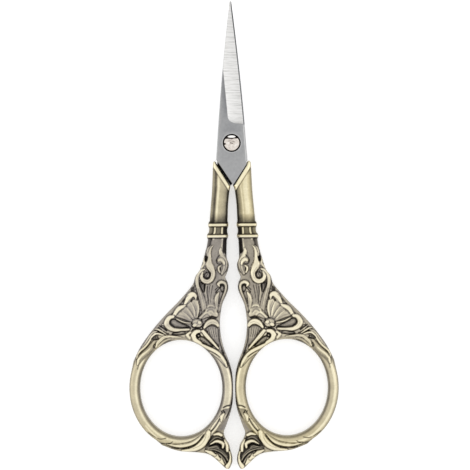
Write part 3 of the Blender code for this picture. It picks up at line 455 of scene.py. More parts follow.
def draw_shell(r):
    """Shell with its petals, lip, boss and ribbed hollow.  Petals and ribs are lines laid out as a fan."""
    roll, ridge, cut, patch, dome, eye = r.roll, r.ridge, r.cut, r.patch, r.dome, r.eye

    # Shell petals
    patch([(266.4, 302), (269, 299), (275, 299.4), (280, 302.6), (287, 309), (291.4, 315), (290, 318),
        (276, 323), (266, 318)], 1.5, 0.6, 0.3)
    for line, wear_and_painted_light in (([(270.3, 317, 1.4), (269.2, 309, 2.8), (271.4, 301.4, 3.6)], 0.86),
                       ([(271.6, 317, 1.4), (273.8, 309.5, 2.6), (277.8, 302.6, 3.4)], 0.8),
                       ([(273.4, 318, 1.5), (278.8, 311.2, 2.8), (284, 306.8, 3.4)], 0.78),
                       ([(275.2, 320, 1.6), (281.8, 315.6, 3.2), (288.6, 312.6, 3.8)], 0.84)):
        roll(line, 1.9, (0.58, wear_and_painted_light), 0.3, low=1.55, crease=0.08)
    # Painted highlights along the petals, on fine raised lines
    for line in ([(269.5, 316), (268.2, 308), (268.9, 300.4)],
                 [(271.8, 315), (272.8, 308), (275, 301.6)],
                 [(274.2, 315.5), (277.6, 309.5), (281, 305.6)],
                 [(276.6, 317.8), (281, 313), (284.8, 310.2)]):
        ridge(line, 0.7, 1.0, 0.06, 0.95)
    for line in ([(270.4, 315), (270, 308), (272.4, 301)],
                 [(273.4, 314), (276, 308), (279.4, 304)],
                 [(276, 315.5), (280.8, 310.4), (284.4, 308)],
                 [(278.6, 318.2), (284, 315), (289.4, 313.6)]):
        ridge(line, 0.5, 0.42, -0.06, 0.7)
    roll([(276.2, 322.2, 0.9), (280.5, 321.8, 1.2), (285, 320.4, 1.2), (290.3, 317.6, 0.9)], 2, 0.98)

    # Wavy lip of the shell
    roll([(270.4, 298.2, 1), (271.3, 294.8, 2.6), (274.2, 293.8, 3.4), (277.2, 296.6, 3.5),
        (279.6, 300.2, 2.7), (281.8, 303.4, 1.3)], 2.05, 1, 0.3)
    roll([(281.4, 304.6, 1.1), (284.2, 305.8, 2.4), (287.8, 307.9, 2.9), (290.5, 311, 2.5), (292.4, 313.8, 2),
        (295, 315.4, 2.2)], 2.05, 1, 0.3)
    cut([(273.4, 296.6), (276.6, 298.8), (279.4, 302.6)], 0.3, 0.3, 0.12)
    cut([(283.6, 307.6), (287, 310), (289.4, 313)], 0.3, 0.3, 0.12)
    cut([(277.8, 294.4), (280.4, 296.4), (281.4, 299.4)], 0.3, 0.4, 0.1)

    # Bright leaf right of the shell
    roll([(300, 323, 2.8), (304.5, 323.3, 0.9)], 1.9, 0.95)
    roll([(278, 328.4, 1.5), (286, 329, 2.1), (292.5, 328.6, 2.6), (297.6, 326.2, 3.1), (300.2, 322.6, 3.3),
        (299.2, 318.8, 2.9), (296.8, 316.2, 2.6), (293.6, 315.6, 2)], 2.05, (0.9, 1), 0.32)
    cut([(294.5, 316.2), (298, 318.5), (299.5, 322.5), (297, 326)], 0.3, 0.75, 0.06)

    # Dark drop between shell and leaf
    patch([(278, 326.2), (283, 323.8), (288, 321.6), (291.4, 319), (294.4, 318.8), (296, 320.4), (295.8, 323),
        (292.6, 325.4), (285, 326.3)], 1.05, 0.45, 0.2)
    cut([(291.3, 318.6), (294.6, 318.4), (296.3, 320.6), (295.7, 323.4), (292.3, 326)], 0.55, 0)
    cut([(278.3, 325.6), (283.5, 323.4), (290, 320.2)], 0.45, 0.02)
    ridge([(284, 325), (290, 323.5), (293.8, 321)], 0.5, 0.6)

    # Left petals of the shell
    roll([(250.8, 314.4, 3), (254.8, 311.4, 4.9), (260, 313.2, 4.3), (266.4, 317.4, 2.2)], 1.85, 0.78, 0.37)
    ridge([(249.6, 313), (250.6, 309), (252.6, 306.2), (255.6, 305.1), (258.4, 306), (260.2, 309),
        (261.4, 312.4)], 0.9, 1, 0.14)
    ridge([(256, 314.6), (259.2, 311.6), (262.6, 313), (266, 317)], 0.7, 0.95, 0.1)
    cut([(256.6, 316.6), (259.6, 313.6), (262.4, 315.2), (264.6, 318)], 0.4, 0.3, 0.12)
    cut([(252.6, 311.8), (254.2, 309.2), (257.2, 309), (259.6, 310.8)], 0.5, 0.35, 0.12)
    ridge([(253, 313), (255.4, 310.8), (259, 312), (265, 315.6)], 0.5, 0.95)
    cut([(250.5, 317.4), (254.5, 317), (258.4, 318.8), (261.5, 321)], 0.55, 0.1)
    roll([(248.6, 325.4, 2), (251.4, 322.2, 3), (255.5, 321.2, 3.3), (259.5, 323.2, 2.9), (262.6, 327, 1.7)],
        2, 1, 0.29)
    cut([(249.8, 323), (253, 321.6), (257, 322.2), (260.5, 325)], 0.3, 0.6, 0.08)
    cut([(264.7, 317.6), (265.6, 320), (264.2, 323.5)], 0.6, 0.35, 0.15)

    # Ribbed hollow
    patch([(249.4, 328.4), (252, 326.7), (254.4, 326), (257.2, 326.3), (259.2, 327.5), (260.6, 329.1),
        (259.2, 330.8), (258.8, 333.3), (255.5, 337), (251.8, 341.5), (248.3, 345.5), (248.2, 341),
        (249, 336)], 1.15, 0.47, 0.2)
    for a, b in ((250.6, 249.6), (252.8, 251.4), (255.2, 253.4), (257.2, 255)):
        middle = (a * 2 + b) / 3
        ridge([(a, 327.8), (middle, 333), (b, 338)], 0.45, 0.82)
        cut([(a + 1.1, 327.8), (middle + 1.1, 332.6), (b + 0.9, 336.6)], 0.3, 0.12, 0.15)
    cut([(249.2, 327.9), (252, 326.1), (256.4, 325.7), (259.8, 327.2), (261, 329.2), (259.4, 331)], 0.4, 0)
    cut([(259.6, 331), (259.2, 333.6), (255.8, 337.4), (252, 341.8), (248.3, 346.2)], 0.4, 0)
    cut([(248.2, 329), (248.2, 336), (247.4, 342), (245.6, 348.5), (243.6, 353)], 0.9, 0.03, 0.25)

    # Boss and the scroll under it
    patch([(262, 329), (268, 328.6), (276, 329), (278.6, 334), (275, 340), (268, 343), (264, 343), (268, 337),
        (263, 335)], 1.55, 0.9, 0.4)
    roll([(266.5, 330.4, 1.9), (270.8, 331.2, 3), (273.6, 334.6, 3.4), (272, 338.8, 2.9), (268.4, 341.4, 2.3),
        (263, 345, 2.2), (257, 348.3, 2.3), (251, 351.6, 2.4), (246.5, 355.7, 2.1), (243, 360.9, 1.8),
        (241, 366, 1.2)], 2.05, (1, 0.95), 0.26)
    patch([(266.6, 335.6), (263.4, 337), (258.6, 341.3), (254.2, 345), (255.4, 345.6), (259.6, 344),
        (264.4, 342.2), (266.2, 340), (267, 338.6)], 1.1, 0.52, 0.2)
    cut([(266.6, 335.6), (263, 337.4), (258.6, 341.4), (253.6, 345.8)], 0.42, 0)
    cut([(255.2, 346.2), (260, 344.4), (264.8, 342.6)], 0.4, 0.05)
    cut([(259.8, 343), (263.4, 341.2), (265.2, 341.2), (265, 339.4)], 0.25, 0.15, 0.2)
    roll([(264.2, 330.4, 2.2), (261, 334.4, 2.5), (257, 339, 2.1), (252.7, 343.9, 1.7), (249, 348.2, 1.2)],
        2, 1, 0.22)
    cut([(262.6, 332.6), (258.4, 338), (253, 344)], 0.25, 0.7, 0.06)
    eye(268.7, 335.1, 2.2, 2.4, 0.3, bead=0.42, core=0.8)
    dome(269.4, 322.5, 5.3, 4.4, 0.2, top=1.95, low=1.6, tone=0.85)
    dome(272.2, 324.3, 2.6, 2, -0.5, top=2, low=1.8, tone=1, rim=0.08)
    dome(267.2, 321.8, 2.2, 2, 0.3, top=2, low=1.8, tone=1, rim=0.08)
    cut([(266, 319.4), (269.6, 318.4), (273, 319.4)], 0.3, 0.4, 0.1)
    eye(265.6, 327.7, 1.4, 1.4, bead=0.6, deep=0.4, core=0.9)
    cut([(268, 327.9), (271, 327.4), (273.6, 328.4), (275.2, 330.2)], 0.45, 0.1)
    cut([(273.4, 327.2), (275.8, 324.8)], 0.35, 0.05)
    cut([(276, 327.6), (278.2, 325.4)], 0.35, 0.05)
    roll([(277, 331.6, 1.5), (279.6, 334, 2.2), (277.4, 337.4, 1.6)], 1.8, 0.95)

    # Slits and lines below the web
    cut([(281.8, 331.6), (282.6, 330.7), (286, 330.5), (290, 331.3), (294.4, 332.3)], 0.45, 0)
    cut([(281.8, 332.6), (286, 333.3), (291, 333.2), (295, 333.2)], 0.45, 0)
    ridge([(257, 351.6), (252, 354.4), (247, 358.2), (243.4, 362.7)], 0.5, 1)
    cut([(257.5, 350.4), (252.4, 353.3), (247.2, 357)], 0.3, 0.25, 0.12)
    cut([(256, 353.8), (251, 357.2), (246.6, 361.6), (243, 366)], 0.35, 0.15, 0.12)


def draw_wraps(r):
    """Leaves that lie on the ring, its knot, and the leaves wrapped round its foot, lines along the band."""
    roll, ridge, cut, patch, eye = r.roll, r.ridge, r.cut, r.patch, r.eye

    # Leaves lying on the upper right of the ring
    cut([(300.2, 329.6), (303.2, 327), (307.4, 324.4)], 0.5, 0.02)
    ridge([(299.6, 331.4), (303.4, 329), (307.2, 326)], 0.45, 0.9)
    cut([(298.4, 332.6), (302, 331.2), (305.4, 328.7), (308.2, 326)], 0.4, 0.05)
    roll([(301.2, 332.8, 0.7), (305.4, 330, 1.2), (308.8, 328, 1.3), (311.4, 327.6, 0.7)], 1.9, 0.95)
    cut([(304.6, 332.4), (308.4, 330.4), (311.6, 329)], 0.4, 0.05)
    roll([(310, 329.6, 0.7), (313.4, 330.9, 1.2), (317, 334.5, 1.35), (319.8, 338.7, 1.3), (322.6, 342.6, 1),
        (325.6, 345.7, 0.6)], 1.9, 0.86)
    roll([(312.2, 339, 1.4), (315, 343.4, 2.7), (318.2, 347.8, 3.1), (322.4, 351.4, 3), (326.2, 354.5, 2.8),
        (328.8, 358, 2), (330, 362.6, 0.8)], 1.95, (0.66, 1), 0.3)
    cut([(314.8, 340.6), (317.6, 345), (321.4, 348.8), (325.6, 351.6), (329, 355.8)], 0.32, 0.32, 0.1)
    cut([(313.4, 343), (316.4, 348), (320.4, 351.8), (325, 355.4), (328.2, 359)], 0.3, 0.42, 0.1)
    ridge([(317.4, 347), (322, 350.7), (326.2, 353.8), (328.9, 358)], 0.5, 1, 0.06)
    roll([(303, 334, 0.8), (307.5, 332.4, 1.3), (311.5, 332.3, 1.5), (314.6, 334.8, 1.4), (317, 338.4, 1.4),
        (319.8, 342.4, 1.4), (323, 345.8, 1.4), (326.6, 348.8, 1.3), (329.4, 352.2, 1), (331, 356.6, 0.5)],
        2, 1)
    patch([(308.4, 336.4), (311, 334.7), (314.4, 335.8), (315.6, 337.8), (312.4, 338.5), (309.4, 338)],
        1.3, 0.2, 0.25)
    eye(310.4, 336.5, 1.2, 1.1, bead=0.75, deep=0.3, core=0.6)
    roll([(296, 337.7, 0.6), (301, 338.8, 1.3), (305.6, 341.6, 1.6), (309.2, 345.1, 1.5),
        (312.6, 348.9, 0.8)], 1.85, (0.7, 0.8))
    roll([(286, 336, 0.8), (292.5, 335.5, 1.4), (298, 335, 1.6), (303, 336, 2), (307, 338.9, 2.1),
        (309.8, 342.2, 1.7), (311.6, 345.8, 0.8)], 2, (0.86, 1))
    cut([(299, 335), (304, 336.6), (307.8, 339.8), (310.2, 343.4)], 0.28, 0.5, 0.08)
    eye(312.9, 344.4, 0.9, 2.2, 0.15, bead=0.72, deep=0.4, core=0.5)
    cut([(296.4, 339.5), (301, 341.2), (305.4, 344.2), (309, 347.4)], 0.38, 0.2)
    cut([(317.4, 352.6), (321, 355.2), (325, 358.4), (328.4, 362.4), (330, 367)], 0.55, 0.38, 0.2)

    # Left lower ring: collar, knot, leaves
    cut([(238.6, 405.2), (242, 405.6), (245.2, 407.2)], 0.45, 0.05)
    # Painted glint on the collar, on a fine raised line
    ridge([(238.8, 407.2), (241, 407.4)], 0.6, 1)
    patch([(239.5, 408.5), (246, 409.5), (248, 413.8), (244, 415), (240.4, 412)], 1.7, 0.5, 0.3)
    cut([(243.8, 412.4), (245.4, 410)], 0.35, 0.05)
    cut([(246.2, 412), (247.4, 410.6)], 0.3, 0.05)
    roll([(245, 413.6, 1.5), (247, 416.6, 2.2), (247.2, 420.4, 1.4)], 2, 0.98)
    patch([(241.8, 418), (246, 421), (250.8, 427.6), (251.6, 431), (247.4, 430.8), (243.6, 424.4)],
        1.55, 0.46, 0.5)
    roll([(249.4, 417, 0.5), (252.6, 421.4, 0.9), (256, 426, 1.1), (259.2, 431, 1)], 1.95, 1)
    cut([(249.2, 418.8), (251.4, 423), (254.4, 427.2), (257.8, 431)], 0.4, 0)
    ridge([(249.6, 423.8), (252.2, 427.6), (255.6, 430.8)], 0.6, 0.9)

    # Wrapped leaves on the bottom of the ring
    roll([(266.4, 434.2, 1), (270.5, 438.6, 2.2), (277, 442.8, 2.8), (285, 444.6, 2.6), (294, 444.4, 1.7),
        (302, 442.6, 0.8)], 1.95, 0.92)
    cut([(266, 434.4), (269.6, 439.6), (274, 443.4), (282.6, 446.4), (290, 447.4), (298, 446.6)],
        0.42, 0.25, 0.3)
    roll([(260.3, 431.6, 2.6), (262.3, 437.6, 4.1), (266.8, 443, 4.1), (272.6, 446.9, 3.3), (279, 448.8, 2.2),
        (287, 449.4, 1.1)], 2.05, 1, 0.32)
    cut([(262.4, 433), (264.8, 439.6), (269.4, 444.6), (276.4, 447.6)], 0.3, 0.6, 0.08)
    cut([(260, 435), (261.4, 441), (265.6, 446.4)], 0.25, 0.7, 0.06)
    cut([(296.5, 440.4), (300, 442.2), (309, 442)], 0.4, 0.1, 0.2)
    cut([(303, 436.6), (309, 437.4), (315, 434.6), (321, 430.6)], 0.4, 0.12, 0.2)
    ridge([(312, 436), (318, 430), (323, 424)], 0.7, 1)


def draw_finial(r):
    """Palmette under the ring: a dark ground, fine strands, and swelling lobes round its edge."""
    roll, ridge, cut, patch = r.roll, r.ridge, r.cut, r.patch
    patch([(246, 437), (251, 435.6), (257, 435.6), (264, 447.6), (262, 450.4), (250, 458), (243, 465),
        (238.4, 460), (240.6, 446)], 1.2, 0.24, 0.4)
    roll([(247.6, 434.8, 2), (251, 433.4, 2.1), (255.4, 434.4, 1)], 1.95, 1)
    ridge([(248, 438.4), (251.6, 437.2), (255.6, 438.6), (259.6, 442.6)], 0.45, 0.72)
    cut([(247.6, 439.8), (251.4, 438.6), (255.4, 440), (259.4, 443.8)], 0.3, 0.02, 0.2)
    ridge([(249.4, 440.2), (252.4, 439.8), (255.8, 441.4), (259, 444.8)], 0.3, 0.5)
    ridge([(262.6, 446.8), (256.4, 446.9), (250.6, 448.8), (246, 452), (242.4, 456.6)], 0.35, 0.62)
    cut([(248.4, 447.6), (249.6, 445.2), (252.4, 444), (256, 444.6), (260, 446.2)], 0.55, 0.02, 0.25)
    ridge([(250.6, 448), (252.6, 446.2), (256, 446.3), (261, 447.6)], 0.3, 0.75)
    roll([(246.4, 447.2, 1.5), (246.2, 443.6, 2.1), (249.4, 441.4, 2.2), (253.6, 441, 1.9),
        (258.8, 443.6, 0.8)], 1.95, 1)
    cut([(247, 446), (247.4, 443.6), (250.4, 442.2), (254.6, 442)], 0.3, 0.6, 0.08)
    roll([(244.6, 439.6, 0.9), (242.4, 444.6, 1.8), (242, 450.6, 1.8)], 1.8, 1)
    ridge([(263, 448.4), (255, 449.4), (248.6, 452), (243.8, 456.6), (241.4, 461)], 0.35, 0.95)
    ridge([(264, 449.6), (257, 451), (250, 454.6), (246, 459), (243.6, 463.6)], 0.45, 1)
    cut([(256, 450), (249.4, 453.2), (245, 457.6), (242.4, 462)], 0.4, 0.02, 0.2)
    roll([(245.8, 464, 1.2), (249.2, 460, 2.9)], 1.8, 1)
    roll([(250.2, 458.6, 1.5), (253.4, 455.6, 2.7)], 1.8, 1)
    roll([(254.4, 454.6, 1.4), (258.4, 452.2, 2.3), (263.6, 450, 1.1)], 1.8, 0.95)
    roll([(239.8, 451.6, 0.8), (239, 458, 1.3), (240.2, 463, 1.9), (242.2, 466.2, 2.4), (242.4, 469.4, 0.8)],
        1.75, 1)


def lift_hollows(r):
    """Lighter hollows by the shell, the wraps and the knot: dark wear is raised by a table over the height,
    most at 0.15 and not at all from 0.65 up.  The finial beside the ring keeps its dark hollows."""
    heights = [level(y) for y in (455, 418, 408, 362, 350, 300, 288, 230)]
    lift = np.interp(r.Y, heights, (0.13, 0.13, 0.05, 0.05, 0.22, 0.22, 0.06, 0.0))
    lift *= 1 - np.clip((level(436) - r.Y) / 0.5, 0, 1) * np.clip((RING_X - 1.5 - r.X) / 0.5, 0, 1)
    r.T[:] += lift * np.interp(r.T, (0, 0.15, 0.4, 0.65), (0.5, 1, 0.8, 0))


def dull_left_hand(r):
    """Duller inner ornament of the left hand, painted light standing for how the left copy is lit: away from
    the outer edge, values above 0.6 go back to it by 0.4, values below it come up by 0.08, and the gilding
    nearly goes."""
    keep = 0.2 + 1.9 * np.clip((level(282) - r.Y) / 2, 0, 1)
    inside = np.clip((side_at(OUTER, r.Y) - r.X - keep) / 0.6, 0, 1)
    inside *= np.clip((level(238) - r.Y) / 2, 0, 1)
    inside *= np.clip((r.Y - level(335)) / 3, 0, 1)
    r.T[:] += (0.6 - r.T) * np.where(r.T > 0.6, 0.4, 0.08) * inside
    r.G[:] *= 1 - 0.85 * inside


def draw_beads_and_rim(r):
    """Two beads round the neck, each half an ellipse high over its width between two cut lines, and the
    bright slanted rim beside the blade with a cut line below it."""
    X, Y, S, H, T = r.X, r.Y, r.S, r.H, r.T
    for top, bottom in BEADS:
        y0, y1 = level(top), level(bottom)
        wave = np.clip(1 - (2 * (Y - y1) / (y0 - y1) - 1) ** 2, 0, 1)
        H[:] = np.where(wave > 0, np.clip(S + 0.9, 0.9, 1.72) + 0.4 * np.sqrt(wave), H)
        # Painted shade: each bead is pale on its crest and darker towards its edges
        T[:] = np.where(wave > 0, 0.6 + 0.4 * np.sqrt(wave), T)
        for edge in (y0, y1):
            fall = np.exp(-((Y - edge) / 0.13) ** 2)
            H[:] -= 0.2 * fall
            T[:] *= 1 - 0.93 * fall
    q = X * RIM_NORMAL[0] + Y * RIM_NORMAL[1] - RIM
    lip = (q > -1) & (q < LIP_WIDTH) & (Y > RIM_END_Y)
    T[:] = np.where(lip, 1.0, T)
    H[:] = np.where(lip, np.minimum(1.98, H + 0.12), H)
    fall = np.exp(-((q - LIP_WIDTH - 0.1) / 0.12) ** 2) * (Y > RIM_END_Y)
    T[:] *= 1 - 0.5 * fall
    H[:] -= 0.1 * fall


def handle_relief(left_hand):
    """Plan grids of a casting.  The drawn height is half smoothed, the value is darkened on steep places,
    patina and painted shade of the sides, and moved by the height above the smoothed height, and the border
    rounds off as a quarter ellipse."""
    r = Relief(0.0 if left_hand else RIM_REACH)
    draw_neck(r, left_hand)
    draw_ring(r, left_hand)
    draw_leaves(r)
    draw_shell(r)
    draw_wraps(r)
    draw_finial(r)
    lift_hollows(r)
    if left_hand:
        dull_left_hand(r)
    draw_beads_and_rim(r)
    H = np.clip(r.H, LEAST_HALF, MOST_HALF)
    H = H + 0.5 * (blur(H, FINE_REACH) - H)
    slope = np.hypot(*np.gradient(H, STEP))
    hollow = H - blur(H, BROAD_REACH)
    web = np.clip((-29.0 - r.Y) / 3.0, 0, 1)
    # Painted shade, partly patina: the web's steep sides go darker
    steep = 1 - web * 0.22 * np.clip(slope - 0.4, 0, 1.2)
    r.T = np.clip(r.T * steep + web * 0.5 * np.clip(hollow, -0.25, 0.15), 0, 1)
    seat = (r.X * RIM_NORMAL[0] + r.Y * RIM_NORMAL[1] < RIM + 0.3) & (r.Y > RIM_END_Y)
    s = np.clip(r.S / np.where(seat, 0.16, RIM_RADIUS), 0, 1)
    r.H = np.minimum(H, MID_Z * (RIM_WALL + (1 - RIM_WALL) * np.sqrt(1 - (1 - s) ** 2)))
    return r


# Meshes from arrays
def sample(grid, x, y):
    """Value of a plan grid at any place, straight between its four corners."""
    i = np.clip((x - X_LOW) / STEP, 0, grid.shape[0] - 1.001)
    j = np.clip((y - Y_LOW) / STEP, 0, grid.shape[1] - 1.001)
    i0, j0 = i.astype(int), j.astype(int)
    a, b = i - i0, j - j0
    low = grid[i0, j0] * (1 - a) + grid[i0 + 1, j0] * a
    high = grid[i0, j0 + 1] * (1 - a) + grid[i0 + 1, j0 + 1] * a
    return low * (1 - b) + high * b


def grid_quads(number, cell):
    """Corner numbers of the chosen cells of a numbered grid, in turn round each cell."""
    corners = (number[:-1, :-1], number[1:, :-1], number[1:, 1:], number[:-1, 1:])
    return np.stack([corner[cell] for corner in corners], -1)


def placed(x, y, z):
    """Points in metres in the scene's frame, from millimetres about the pivot and the mid plane."""
    return np.stack([x, y + PIVOT_Y, z + MID_Z], -1) * MM


def turned_over(points):
    """Points turned half round the line along Y in the mid plane: x and z - MID_Z change sign."""
    return points * np.array([-1, 1, -1]) + np.array([0, 0, 2 * MID_Z * MM])


def casting(r):
    """Closed skin of the casting: both faces carry the same height over the plan, mirrored in the mid plane.
    The outermost grid points slide along the slope of the edge distance onto the line at depth RIM_INSET,
    and rows of points follow a quarter ellipse from there round to the mid plane."""
    slope_x, slope_y = np.gradient(r.S, STEP)
    size = np.maximum(np.hypot(slope_x, slope_y), SMALL)
    used = r.S - RIM_INSET > -0.5 * STEP
    cell = used[:-1, :-1] & used[1:, :-1] & used[:-1, 1:] & used[1:, 1:]
    ids, quads = np.unique(grid_quads(np.arange(r.S.size).reshape(r.S.shape), cell), return_inverse=True)
    quads = quads.reshape(-1, 4)
    count = len(ids)
    edges = np.concatenate([quads[:, [k, (k + 1) % 4]] for k in range(4)])
    one_way, other_way = edges @ (count, 1), edges @ (1, count)
    rim = edges[~np.isin(one_way, other_way)]
    border = np.unique(rim)
    width = len(border)

    x, y, s = r.X.ravel()[ids], r.Y.ravel()[ids], r.S.ravel()[ids]
    nx, ny = (slope_x / size).ravel()[ids], (slope_y / size).ravel()[ids]
    slide = np.zeros(count)
    slide[border] = RIM_INSET - s[border]
    x, y = x + nx * slide, y + ny * slide
    z, wear_and_painted_light, gilt = sample(r.H, x, y), sample(r.T, x, y), sample(r.G, x, y)

    shares = np.array(RIM_ROWS)
    curve = RIM_WALL + (1 - RIM_WALL) * np.sqrt(1 - (1 - shares * RIM_INSET / RIM_RADIUS) ** 2)
    curve = curve[1:, None] / curve[0]
    inset = RIM_INSET * (1 - shares[1:, None])
    layers = len(curve)
    wall_x = (x[border] - nx[border] * inset).ravel()
    wall_y = (y[border] - ny[border] * inset).ravel()
    wall_z = (z[border] * curve).ravel()
    even = np.linspace(0.1, 1, layers)[:, None]
    # Painted shade: the side walls take a duller value towards the mid plane
    wall_shade = ((wear_and_painted_light[border] * 0.5 + 0.3) * (1 - even) + WALL_SHADE * even).ravel()
    points = placed(np.concatenate([x, x, wall_x, wall_x]), np.concatenate([y, y, wall_y, wall_y]),
                    np.concatenate([z, -z, wall_z, -wall_z]))
    values = {"wear_and_painted_light": np.concatenate([wear_and_painted_light, wear_and_painted_light, wall_shade, wall_shade]),
              "gilt": np.concatenate([gilt, gilt, np.tile(gilt[border], 2 * layers)])}

    ends = np.searchsorted(border, rim)
    starts = 2 * count + width * np.arange(2 * layers)
    upper = [rim] + [ends + k for k in starts[:layers]]
    lower = [rim + count] + [ends + k for k in starts[layers:]]
    chain = upper + lower[::-1]
    walls = [np.hstack([q[:, ::-1], p]) for q, p in zip(chain[:-1], chain[1:])]
    return points, np.concatenate([quads, quads[:, ::-1] + count] + walls), values


def mesh_object(name, points, faces, values, material):
    """Smooth-shaded object from rows of points, rows of corner numbers and one named value per point."""
    mesh = bpy.data.meshes.new(name)
    corners = faces.shape[1]
    mesh.vertices.add(len(points))
    mesh.vertices.foreach_set("co", points.astype(np.float32).ravel())
    mesh.loops.add(faces.size)
    mesh.loops.foreach_set("vertex_index", faces.astype(np.int32).ravel())
    mesh.polygons.add(len(faces))
    mesh.polygons.foreach_set("loop_start", np.arange(0, faces.size, corners, dtype=np.int32))
    mesh.polygons.foreach_set("loop_total", np.full(len(faces), corners, dtype=np.int32))
    mesh.polygons.foreach_set("use_smooth", np.full(len(faces), True))
    for key, row in values.items():
        mesh.attributes.new(key, "FLOAT", "POINT").data.foreach_set("value", row.astype(np.float32))
    mesh.update(calc_edges=True)
    mesh.validate()
    mesh.materials.append(material)
    made = bpy.data.objects.new(name, mesh)
    bpy.context.scene.collection.objects.link(made)
    return made


# Materials
def new_material(name):
    """Empty node material and its tree."""
    made = bpy.data.materials.new(name)
    made.use_nodes = True
    made.node_tree.nodes.clear()
    return made, made.node_tree


def put(tree, socket, value):
    """Links a node's output to a socket, or writes a number or colour into it."""
    if isinstance(value, bpy.types.NodeSocket):
        tree.links.new(value, socket)
    else:
        socket.default_value = value


def add(tree, kind, *first, **named):
    """Node of a kind: its first sockets take the plain values, other sockets and settings the named ones."""
    node = tree.nodes.new("ShaderNode" + kind)
    for socket, value in zip(node.inputs, first):
        put(tree, socket, value)
    for key, value in named.items():
        if key.replace("_", " ") in node.inputs:
            put(tree, node.inputs[key.replace("_", " ")], value)
        else:
            setattr(node, key, value)
    return node


def point_value(tree, name):
    """Value that the mesh carries under a name."""
    return add(tree, "Attribute", attribute_name=name).outputs["Fac"]


def noise(tree, place, scale, detail, **named):
    """Cloudy value from 0 to 1."""
    return add(tree, "TexNoise", Vector=place, Scale=scale, Detail=detail, **named).outputs["Fac"]


def spread(tree, value, low, high, **named):
    """Value from 0 to 1, or from the named range, moved to the range from low to high and held in it."""
    return add(tree, "MapRange", Value=value, To_Min=low, To_Max=high, **named).outputs[0]


def total(tree, first, second):
    """Sum of two values."""
    return add(tree, "Math", first, second, operation="ADD").outputs[0]


def ramp(tree, value, stops):
    """Colour by a value, straight between stops of a place and a red, green and blue share."""
    node = add(tree, "ValToRGB", value)
    line = node.color_ramp
    while len(line.elements) < len(stops):
        line.elements.new(0.5)
    for element, (place, *colour) in zip(line.elements, stops):
        element.position = place
        element.color = (*colour, 1.0)
    return node.outputs[0]


def blend(tree, share, first, second):
    """Mix of two colours by a share."""
    node = add(tree, "Mix", share, data_type="RGBA")
    put(tree, node.inputs[6], first)
    put(tree, node.inputs[7], second)
    return node.outputs[2]


def metal(name, build):
    """Metal whose colour, roughness and other sockets come from a function of its tree and Object place."""
    made, tree = new_material(name)
    place = add(tree, "TexCoord").outputs["Object"]
    shader = add(tree, "BsdfPrincipled", Metallic=1.0, **build(tree, place))
    add(tree, "OutputMaterial", Surface=shader.outputs[0])
    return made


def brass_look(tree, place):
    """Cast brass, pale on the high places and nearly black in the hollows: the point value of wear, patina and
    painted light and shade and two noises choose the colour on a silvery and on a golden scale, and the gilding
    blends the two."""
    wear_and_painted_light = point_value(tree, "wear_and_painted_light")
    fine = add(tree, "Math", noise(tree, place, 2600.0, 3.0), 0.16, -0.08, operation="MULTIPLY_ADD")
    broad = add(tree, "Math", noise(tree, place, 420.0, 2.0), 0.20, -0.10, operation="MULTIPLY_ADD")
    value = total(tree, wear_and_painted_light, total(tree, fine.outputs[0], broad.outputs[0]))
    silvery = ramp(tree, value, [(0.0, 0.007, 0.006, 0.006), (0.2, 0.040, 0.036, 0.033),
                                 (0.4, 0.15, 0.135, 0.125), (0.6, 0.33, 0.30, 0.265),
                                 (0.8, 0.60, 0.545, 0.43), (1.0, 0.91, 0.84, 0.64)])
    golden = ramp(tree, value, [(0.0, 0.009, 0.008, 0.006), (0.2, 0.048, 0.040, 0.026),
                                (0.4, 0.20, 0.175, 0.105), (0.6, 0.42, 0.36, 0.205),
                                (0.8, 0.61, 0.53, 0.31), (1.0, 0.91, 0.83, 0.57)])
    return {"Base_Color": blend(tree, point_value(tree, "gilt"), silvery, golden),
            "Roughness": spread(tree, wear_and_painted_light, 0.5, 0.3)}


def steel_look(tree, place):
    """Blade steel: satin grey by the value worked out with the blade, which carries painted shade and
    highlights, and pale where the mesh says ground, with fine lines across the blade from a noise stretched
    along X."""
    across = add(tree, "Mapping", Vector=place, Scale=(0.045, 1.0, 0.2)).outputs[0]
    lines = noise(tree, across, 3000.0, 3.0, Roughness=0.65)
    ground = spread(tree, point_value(tree, "ground"), 0.0, 1.0, From_Min=-0.03, From_Max=0.05)
    pale = ramp(tree, lines, [(0.34, 0.56, 0.555, 0.545), (0.46, 0.68, 0.675, 0.66),
                              (0.54, 0.75, 0.745, 0.735), (0.7, 0.78, 0.775, 0.765)])
    mottle = spread(tree, noise(tree, place, 1500.0, 4.0), -0.035, 0.035, From_Min=0.2, From_Max=0.8)
    satin = ramp(tree, total(tree, point_value(tree, "tone"), mottle),
                 [(0.0, 0.006, 0.006, 0.006), (0.3, 0.283, 0.287, 0.296), (0.45, 0.445, 0.447, 0.447),
                  (1.0, 1, 1, 1)])
    bump = add(tree, "Bump", Height=lines, Strength=0.12, Distance=0.0001)
    return {"Base_Color": blend(tree, ground, satin, pale), "Normal": bump.outputs[0],
            "Roughness": spread(tree, ground, 0.42, 0.34)}


def screw_look(tree, place):
    """Polished screw, warm white, darkened by the value worked out over the head, which carries painted shade
    and reflections, and by a little noise.
    """
    mottle = spread(tree, noise(tree, place, 1700.0, 4.0), -0.10, 0.05, From_Min=0.3, From_Max=0.7)
    colour = ramp(tree, total(tree, point_value(tree, "tone"), mottle),
                  [(0.0, 0.008, 0.007, 0.006), (0.35, 0.16, 0.135, 0.12), (0.62, 0.50, 0.44, 0.39),
                   (0.8, 0.82, 0.76, 0.70), (0.92, 0.98, 0.97, 0.95)])
    return {"Base_Color": colour, "Roughness": 0.22}


